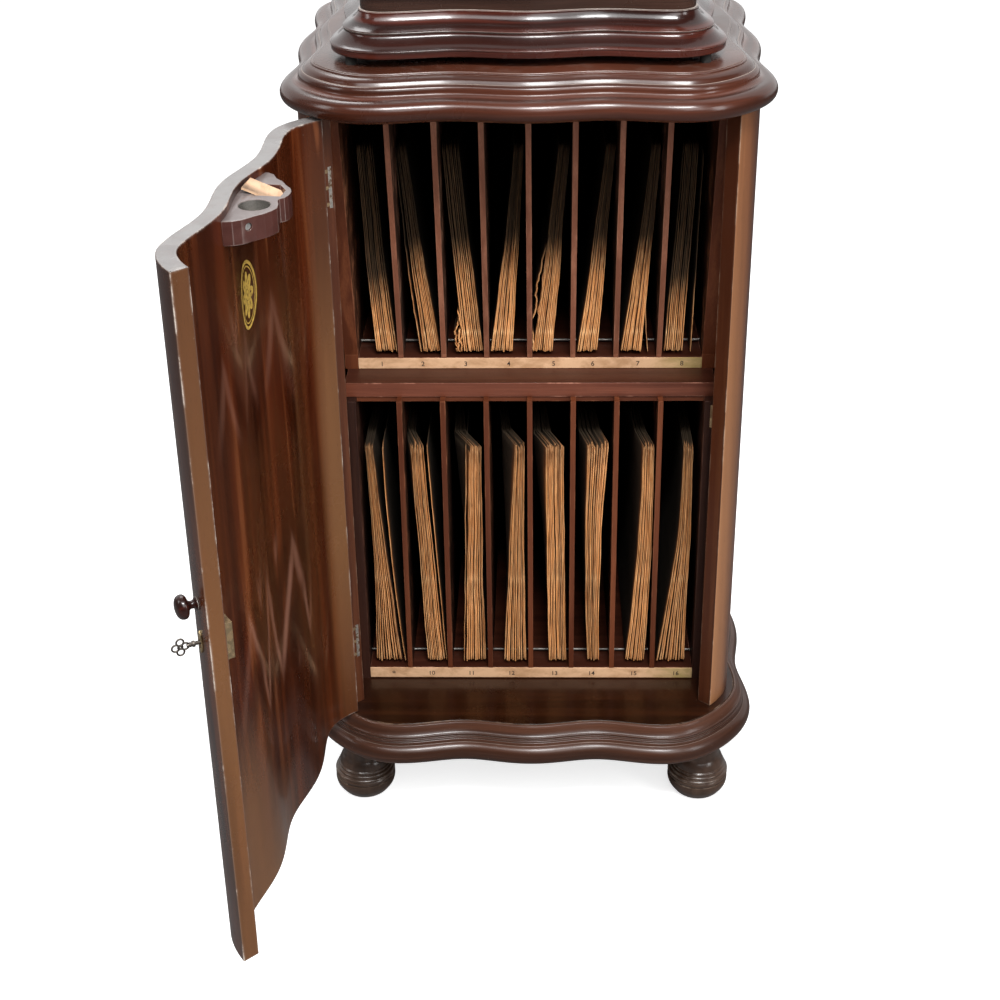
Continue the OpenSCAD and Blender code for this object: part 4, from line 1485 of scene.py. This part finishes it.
@dataclass
class Records(Assembly):
    """Sixteen bundles of records in old paper sleeves."""

    pitch: float = 50.8
    divider: float = 3.4  # half a divider and the clearance beside it
    upper_at: Triple = (56.0, 428.1, 254.0)  # depth, height and sleeve size of a tier
    lower_at: Triple = (5.0, 22.0, 305.0)

    UPPER: ClassVar[tuple[Bundle, ...]] = (
        Bundle(1, (-182, -157), (-193.4, -174.8), 9, -1.5, 1.2, 0.0, 0.7),
        Bundle(2, (-126.2, -106), (-148.6, -137.3), 8, -1.0, 1.3, 0.02, 0.72, (
            Loose(-128.5, -141.5, -149.0, 0.98, 1.6),
        )),
        Bundle(3, (-77.6, -54.8), (-97.4, -77.6), 8, -0.5, 1.4, 0.0, 0.68, (
            Loose(-81.2, -81.0, -84.0, 0.2, 3.4, 1.0), Loose(-85.5, -84.0, -82.0, 0.11, 3.0, 1.3),
            Loose(-83.0, -87.0, -84.5, 0.15, 4.0, 0.9),
        )),
        Bundle(4, (-46.6, -19.7), (-16.4, -5.2), 9, 0.6, 1.3, 0.02, 0.8),
        Bundle(5, (4, 27.6), (33, 46.0), 9, 0.8, 1.2, 0.02, 0.86, (
            Loose(4.6, 7.0, 20.0, 0.52, 5.0, 1.0), Loose(8.0, 12.5, 22.0, 0.58, 4.0, 0.8),
        )),
        Bundle(6, (55.9, 80.2), (86, 97.0), 9, 0.8, 1.3, 0.02, 0.86),
        Bundle(7, (107.8, 131.8), (137.6, 147.8), 9, 0.8, 1.3, 0.02, 0.8, (Loose(139.4, 135.6, 147.9, 0.9, 1.2),)),
        Bundle(8, (158.1, 180.2), (171.8, 189.5), 8, 0.4, 1.1, 0.0, 0.62, (Loose(189.6, 192.2, 195.0, 0.96, 0.7),)),
    )
    LOWER: ClassVar[tuple[Bundle, ...]] = (
        Bundle(9, (-196.2, -162.0), (-196.4, -186.5), 9, 1.5, 1.7, 0.0, 0.5, (
            Loose(-158.6, -170.0, -175.0, 1.0, 0.5),
        )),
        Bundle(10, (-130.2, -108.5), (-141.8, -126.0), 8, -0.6, 1.5, 0.3, 0.62, (
            Loose(-106.4, -114.5, -122.0, 1.0, 0.5),
        )),
        Bundle(11, (-82.0, -56), (-71.5, -56.5), 8, -0.8, 1.2, 0.5, 0.66, (Loose(-84.2, -79.5, -76.0, 1.0, 1.3),)),
        Bundle(12, (-33.9, -4.8), (-17.5, -5.7), 9, -1.2, 1.2, 0.42, 0.66),
        Bundle(13, (23, 45.4), (19.2, 41.0), 9, -1.6, 1.0, 0.38, 0.68),
        Bundle(14, (71, 86.4), (67.6, 94.7), 8, -3.4, 0.7, 0.24, 0.62),
        Bundle(15, (119, 143.2), (133.6, 147.2), 8, 3.4, 1.4, 0.2, 0.68),
        Bundle(16, (158.1, 194.9), (181.9, 193.7), 9, 3.0, 1.9, 0.0, 0.6),
    )

    def build(self) -> None:
        """Builds and dresses all bundles."""
        for bundle in self.UPPER:
            self.bundle(bundle, *self.upper_at)
        for bundle in self.LOWER:
            self.bundle(bundle, *self.lower_at)

    def bundle(self, b: Bundle, depth: float, lift: float, size: float) -> None:
        """Builds one bundle.

        Args:
            b: the bundle.
            depth: distance of its front from the rack's front plane.
            lift: height of its bottom over the base floor.
            size: side of a sleeve.
        """
        rng = random.Random(700 + b.number)
        place, count = (b.number - 1) % 8 - 4, b.count + 2
        stack = Stack(rng, (place * self.pitch + self.divider, (place + 1) * self.pitch - self.divider))
        shares = sorted(((i + 0.5) + rng.uniform(-0.22, 0.22)) / count for i in range(count))
        for i, share in enumerate(shares):
            # Inner sides get deeper painted shade; the outer right side of bundles 4 to 7 gets painted light.
            own, seen = b.number * 10 + i, 0.62 if 4 <= b.number <= 7 else 1.0
            outer = (1.0 if i == 0 else 1.7, seen if i == count - 1 else 1.7)
            front, foot = depth + rng.uniform(0.2, 3.6), lift + rng.uniform(0.0, 1.8)
            tall = size - rng.uniform(0.5, 3.0)
            stack.leaf(partial(b.at, own, share), own, front, foot, tall, outer, b.fan)
        for k, sheet in enumerate(b.loose):
            own = b.number * 10 + 50 + k
            front = depth + rng.uniform(0.0, 1.5)
            stack.leaf(partial(sheet.at, own), own, front, lift + 0.4, size * sheet.reach)
        obj = solid(f"sleeves_{b.number:02d}", stack.points, stack.faces)
        store(obj.data, edge=stack.edge, shade=stack.shade)
        self.add(obj, "paper", f"bundle_{b.number:02d}", "sleeve_paper", [f"records_{b.number:02d}"], 60)


@dataclass(frozen=True)
class Band:
    """A flat elliptical band of the rosette, in millimetres from its centre."""

    long: float
    short: float
    width: float
    steps: int
    away: float = 0.0
    turn: float = 0.0
    squash: float = 1.0

    def at(self, share: float) -> Pair:
        """Finds a point of its middle line.

        Args:
            share: share of the way round.

        Returns:
            The point.
        """
        c, s = math.cos(self.turn), math.sin(self.turn)
        u, v = self.away + self.long * math.cos(CIRCLE * share), self.short * math.sin(CIRCLE * share)
        return u * c - v * s, self.squash * (u * s + v * c)


@dataclass
class Door(Assembly):
    """The serpentine door with its fittings, built shut and turned open."""

    low: float = FLOOR_Z + 2.0
    high: float = FLOOR_Z + INSIDE_H - 1.5
    cup: Triple = (34.0, -203.4, FLOOR_Z + 743)
    knob_z: float = FLOOR_Z + 421
    key_z: float = FLOOR_Z + 379
    rosette: Pair = (2.0, FLOOR_Z + 640.0)
    turn: Matrix = field(default_factory=Matrix)

    def build(self) -> None:
        """Builds and dresses the door."""
        x, y = CABINET.corner(HINGE_AT, 0)
        pivot = Vector((-x * MM, y * MM, 0))
        swing = Matrix.Rotation(math.radians(-DOOR_OPEN), 4, "Z")
        self.turn = Matrix.Translation(pivot) @ swing @ Matrix.Translation(-pivot)
        outline = CABINET.wall(((HINGE_AT, HINGE_IN),) * 2, 0.4)
        leaf = wall("serpentine_door", outline, self.low, self.high, 0.9, 0)
        leaf.matrix_world = self.turn
        weather(leaf, self.turn)
        self.add(leaf, "door", "door", "mahogany", ["door_panel"])
        self.dress("hinge", "hinge_door_leaves")
        self.dress("dull_brass", "door_screws")
        self.dress("brass", "escutcheon", "lock_bolt")
        self.dress("bright", "bracket_screws")
        self.eased("lock_case", "lock_box", 0.5, Grain.UP, "dull_brass", "brass", "door")
        dull_top(self.eased("needle_bracket", "needle_shelf", 0.9, Grain.ACROSS, "bracket", "bracket_wood", "door", 3))
        self.eased("needle_stick", "pale_stick", 0.5, Grain.ACROSS, "pale", "pale_wood", "needle_stick")
        profile = [(-12.95, 14.0), (-12.9, 14.9), (-0.4, 14.9), (-0.25, 14.75), (-0.4, 14.5)]
        profile += [(-11.6, 14.3), (-12.4, 13.2), (-12.5, 6.0)]
        cup = lathe("needle_cup_lining", profile, 72, self.turn @ Matrix.Translation(Vector(self.cup) * MM))
        self.add(cup, "steel", "door", "steel", angle=40)
        self.knob()
        self.key()
        self.ornament()

    def on_face(self, height: float) -> Matrix:
        """Finds a place on the outer face over the lock.

        Args:
            height: its height.

        Returns:
            The place, its Z axis pointing out.
        """
        (x, y), (x1, y1) = CABINET.corner(LOCK_AT, 0), CABINET.corner(LOCK_AT, 1)
        aim = Matrix.Rotation(math.atan2(y1 - y, x1 - x), 4, "Z") @ Matrix.Rotation(QUARTER, 4, "Y")
        return self.turn @ Matrix.Translation(Vector((x, y, height)) * MM) @ aim

    def knob(self) -> None:
        """Builds the turned knob."""
        profile = [(-2.0, 2.4), (0.1, 2.4), (0.15, 6.3), (0.6, 6.75), (1.3, 6.7)]
        profile += spline([(1.3, 6.7), (2.2, 5.7), (3.2, 4.4), (5.2, 3.8), (7.2, 4.1), (8.6, 5.4)])
        crown = [(8.6, 5.4), (9.4, 8.2), (10.6, 10.4), (12.4, 11.6), (14.4, 11.75), (16.4, 11.3), (18.4, 9.8)]
        profile += spline(crown + [(19.9, 7.2), (20.7, 4.0), (21.0, 1.0)], 5)
        knob = lathe("turned_knob", profile, 64, self.on_face(self.knob_z))
        self.add(knob, "case_moulding", "door", "moulding_wood", ["door_knob"], 40)

    def key(self) -> None:
        """Builds the key with its bow of small rings."""
        place = self.on_face(self.key_z)
        shank = [(-19.4, 1.7), (-19.0, 1.9), (6.0, 1.9), (6.2, 3.0), (8.8, 3.0), (9.0, 2.0), (9.8, 2.0), (10.0, 2.5)]
        shank += [(11.4, 2.5), (11.6, 1.6), (14.0, 1.5)]
        parts = [lathe("key_shank", soften(shank, 0.25, False), 32, place)]
        rings = [(x, z, 3.45, 0.95) for x, z in ((0, 24.6), (0, 15.4), (5.2, 20.0), (-5.2, 20.0))]
        for x, z, radius, bar in [*rings, (0, 20.0, 2.3, 0.8)]:
            at = place @ Matrix.Translation((x * MM, 0, z * MM)) @ Matrix.Rotation(QUARTER, 4, "X")
            parts.append(self.torus(at, radius, bar))
        box = [place @ Vector((x * MM, y * MM, z * MM)) for x in (0, 6.0) for y in (-0.9, 0.9) for z in (-19, -14.8)]
        sides = [(0, 1, 3, 2), (4, 6, 7, 5), (0, 4, 5, 1), (2, 3, 7, 6), (0, 2, 6, 4), (1, 5, 7, 3)]
        parts.append(solid("key_bit", box, sides))
        self.add(joined("quatrefoil_key", parts), "iron", "key", "key_iron", ["key"])

    @staticmethod
    def torus(place: Matrix, radius: float, bar: float, around: int = 36, thick: int = 10) -> Obj:
        """A small ring about the local Z axis.

        Args:
            place: where it is.
            radius: radius of its middle line.
            bar: radius of its bar.
            around: points round it.
            thick: points round the bar.

        Returns:
            The ring.
        """
        points = []
        for a in (CIRCLE * i / around for i in range(around)):
            for b in (CIRCLE * j / thick for j in range(thick)):
                r = radius + bar * math.cos(b)
                points.append(place @ Vector((r * math.cos(a) * MM, r * math.sin(a) * MM, bar * math.sin(b) * MM)))
        return solid("small_ring", points, tube(around, thick, ring=True))

    def ornament(self) -> None:
        """Lays a plain gilt rosette in a ring on the inner face."""
        bands = [Band(25, 33, 3.4, 96), Band(21, 28.4, 1.2, 96)]
        for turn in (CIRCLE * petal / 8 for petal in range(8)):
            petals = ((5.6, 2.9, 3.0), (5.6 * 0.55, 2.9 * 0.55, 2.2))
            bands += [Band(long, short, width, 28, 11.0, turn, 1.36) for long, short, width in petals]
        points, faces = [], []
        for band in [*bands, Band(2.6, 3.4, 3.6, 32)]:
            base = len(points)
            for i in range(band.steps):
                (x, z), (x2, z2) = band.at(i / band.steps), band.at(i / band.steps + 0.002)
                size = math.hypot(x2 - x, z2 - z) or 1.0
                for side in (-0.5 * band.width, 0.5 * band.width):
                    across, up = x - (z2 - z) / size * side, z + (x2 - x) / size * side
                    px, py = CABINET.along(self.rosette[0] + across, -THICK - 0.06)
                    points.append((px * MM, py * MM, (self.rosette[1] + up) * MM))
                a, b = base + 2 * i, base + 2 * ((i + 1) % band.steps)
                faces.append((a, a + 1, b + 1, b))
        obj = new_mesh("gilt_rosette", points, faces)
        obj.matrix_world = self.turn
        self.add(obj, "gilt", "door", "brass", angle=60, worn=False)


@dataclass
class Fittings(Assembly):
    """Hinge leaves, pins, screws and the strike plate on the carcass."""

    def build(self) -> None:
        """Dresses the kept metal pieces."""
        self.dress("hinge", "hinge_frame_leaves")
        self.dress("dull_brass", "frame_screws", "strike_plate")
        self.dress("bright", "hinge_pins")


@dataclass
class Studio:
    """Floor, soft lights, dark boards for reflections and the photograph's camera."""

    eye: Triple = (12.32, -1926.78, 1389.74)
    pitch: float = 0.4721
    yaw: float = -0.0267
    roll: float = 0.0136
    focal_px: float = 1692.6
    middle_y: float = 428.53  # optical centre in a picture of 1000 points
    surround: float = 0.3

    def camera(self) -> None:
        """Places the camera that the photograph was fitted with."""
        sy, cy = math.sin(self.yaw), math.cos(self.yaw)
        sp, cp = math.sin(self.pitch), math.cos(self.pitch)
        ahead, level = Vector((sy * cp, cy * cp, -sp)), Vector((cy, -sy, 0))
        below = ahead.cross(level)
        c, s = math.cos(self.roll), math.sin(self.roll)
        data = bpy.data.cameras.new("view_camera")
        data.sensor_width, data.sensor_fit = 36.0, "HORIZONTAL"
        data.lens = 36.0 * self.focal_px / 1000.0
        data.shift_y = (self.middle_y - 500.0) / 1000.0
        data.clip_start, data.clip_end = 0.05, 60.0
        camera = placed("view_camera", data)
        axes = (c * level + s * below, s * level - c * below, -ahead)
        matrix = Matrix(axes).transposed().to_4x4()
        matrix.translation = Vector(self.eye) * MM
        camera.matrix_world = matrix
        bpy.context.scene.camera = camera

    @staticmethod
    def floor() -> None:
        """Lays a large pale floor: bright to the eye, plain to its light and dim in reflections."""
        material = bpy.data.materials.new("pale_floor")
        tree = Tree(material, "ShaderNodeOutputMaterial")
        dull = tree.node("ShaderNodeBsdfDiffuse", {}, {"Color": (0.8, 0.8, 0.8)}).outputs[0]
        dim = tree.node("ShaderNodeBsdfDiffuse", {}, {"Color": (0.16, 0.16, 0.16)}).outputs[0]
        glow = tree.node("ShaderNodeEmission", {}, {"Color": (1, 1, 1), "Strength": 0.74}).outputs[0]
        both = tree.node("ShaderNodeAddShader", {}, {0: dull, 1: glow}).outputs[0]
        path = tree.node("ShaderNodeLightPath", {}, {}).outputs
        last = dull
        for ray, shader in (("Is Glossy Ray", dim), ("Is Camera Ray", both)):
            last = tree.node("ShaderNodeMixShader", {}, {0: path[ray], 1: last, 2: shader}).outputs[0]
        tree.put(tree.surface, last)
        plate = new_mesh("studio_floor", [(-9, -9, 0), (9, -9, 0), (9, 9, 0), (-9, 9, 0)], [(0, 1, 2, 3)])
        plate.data.materials.append(material)

    @staticmethod
    def flag(name: str, points: Sequence[Triple], tone: float) -> None:
        """Stands a dark board that only reflections see, as a dim side of the room.

        Args:
            name: piece name.
            points: its four corners.
            tone: its grey.
        """
        material = bpy.data.materials.new(name)
        tree = Tree(material, "ShaderNodeOutputMaterial")
        tree.put(tree.surface, tree.node("ShaderNodeEmission", {}, {"Color": (tone, tone, tone)}).outputs[0])
        board = new_mesh(name, points, [(0, 1, 2, 3)])
        board.data.materials.append(material)
        board.visible_camera = board.visible_diffuse = board.visible_shadow = board.visible_transmission = False

    def world(self) -> None:
        """Sets a surround that is white to the eye and lights softly."""
        world = bpy.data.worlds.new("white_surround")
        bpy.context.scene.world = world
        tree = Tree(world, "ShaderNodeOutputWorld")
        soft, white = (
            tree.node("ShaderNodeBackground", {}, {"Color": (1, 1, 1), "Strength": strength}).outputs[0]
            for strength in (self.surround, 1.0)
        )
        path = tree.node("ShaderNodeLightPath", {}, {}).outputs
        seen = path["Is Camera Ray"]
        for ray in ("Is Glossy Ray", "Is Transmission Ray"):
            seen = tree.node("ShaderNodeMath", {"operation": "MAXIMUM"}, {0: seen, 1: path[ray]}).outputs[0]
        tree.put(tree.surface, tree.node("ShaderNodeMixShader", {}, {0: seen, 1: soft, 2: white}).outputs[0])

    @staticmethod
    def lamp(name: str, place: Triple, aim: Triple, size: Pair, watts: float) -> None:
        """Adds one soft area lamp.

        Args:
            name: its name.
            place: where it is.
            aim: the point it is aimed at.
            size: its width and height.
            watts: its power.
        """
        data = bpy.data.lights.new(name, "AREA")
        data.shape = "RECTANGLE"
        data.size, data.size_y = size
        data.energy = watts
        lamp = placed(name, data)
        lamp.location = place
        lamp.rotation_euler = (Vector(aim) - Vector(place)).to_track_quat("-Z", "Y").to_euler()

    def build(self) -> None:
        """Builds the studio."""
        self.camera()
        self.floor()
        self.flag("dim_front", [(-4, -4.2, 0.05), (4, -4.2, 0.05), (4, -4.2, 6), (-4, -4.2, 6)], 0.05)
        self.flag("dim_right", [(4, -4.2, 0.05), (4, 1.2, 0.05), (4, 1.2, 6), (4, -4.2, 6)], 0.08)
        self.flag("dim_left", [(-4, -4.2, 0.05), (-4, 1.2, 0.05), (-4, 1.2, 6), (-4, -4.2, 6)], 0.12)
        self.flag("dim_roof", [(-4, -4.2, 6), (4, -4.2, 6), (4, 0.4, 6), (-4, 0.4, 6)], 0.06)
        self.world()
        self.lamp("key_light", (0.4, -2.1, 3.5), (0, -0.2, 0.55), (0.95, 0.6), 98)
        self.lamp("wide_light", (-0.5, -2.15, 3.45), (0, -0.2, 0.55), (2.6, 0.9), 42)
        self.lamp("fill_light", (0.9, -2.7, 2.5), (0, -0.1, 0.45), (1.6, 1.0), 22)
        self.lamp("right_light", (2.4, -1.9, 1.9), (0, 0, 0.6), (0.8, 1.6), 30)
        self.lamp("left_light", (-2.8, -0.9, 2.2), (0, 0, 0.8), (0.7, 1.3), 16)
        self.lamp("rear_light", (-0.6, 1.6, 3.0), (0, 0, 0.9), (1.6, 1.0), 30)
        bpy.context.scene.view_settings.view_transform = "Standard"


def main() -> None:
    """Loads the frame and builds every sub-assembly."""
    logging.basicConfig(level=logging.INFO, format="%(name)s: %(message)s")
    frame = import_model()
    finishes = Finishes()
    Studio().build()
    for kind in (Base, Carcass, Cornice, CaseFoot, Rack, Records, Door, Fittings):
        group = kind(frame, finishes)
        group.build()
        LOG.info("%s: %d pieces", kind.__name__, len(group.made))


if __name__ == "__main__":
    main()
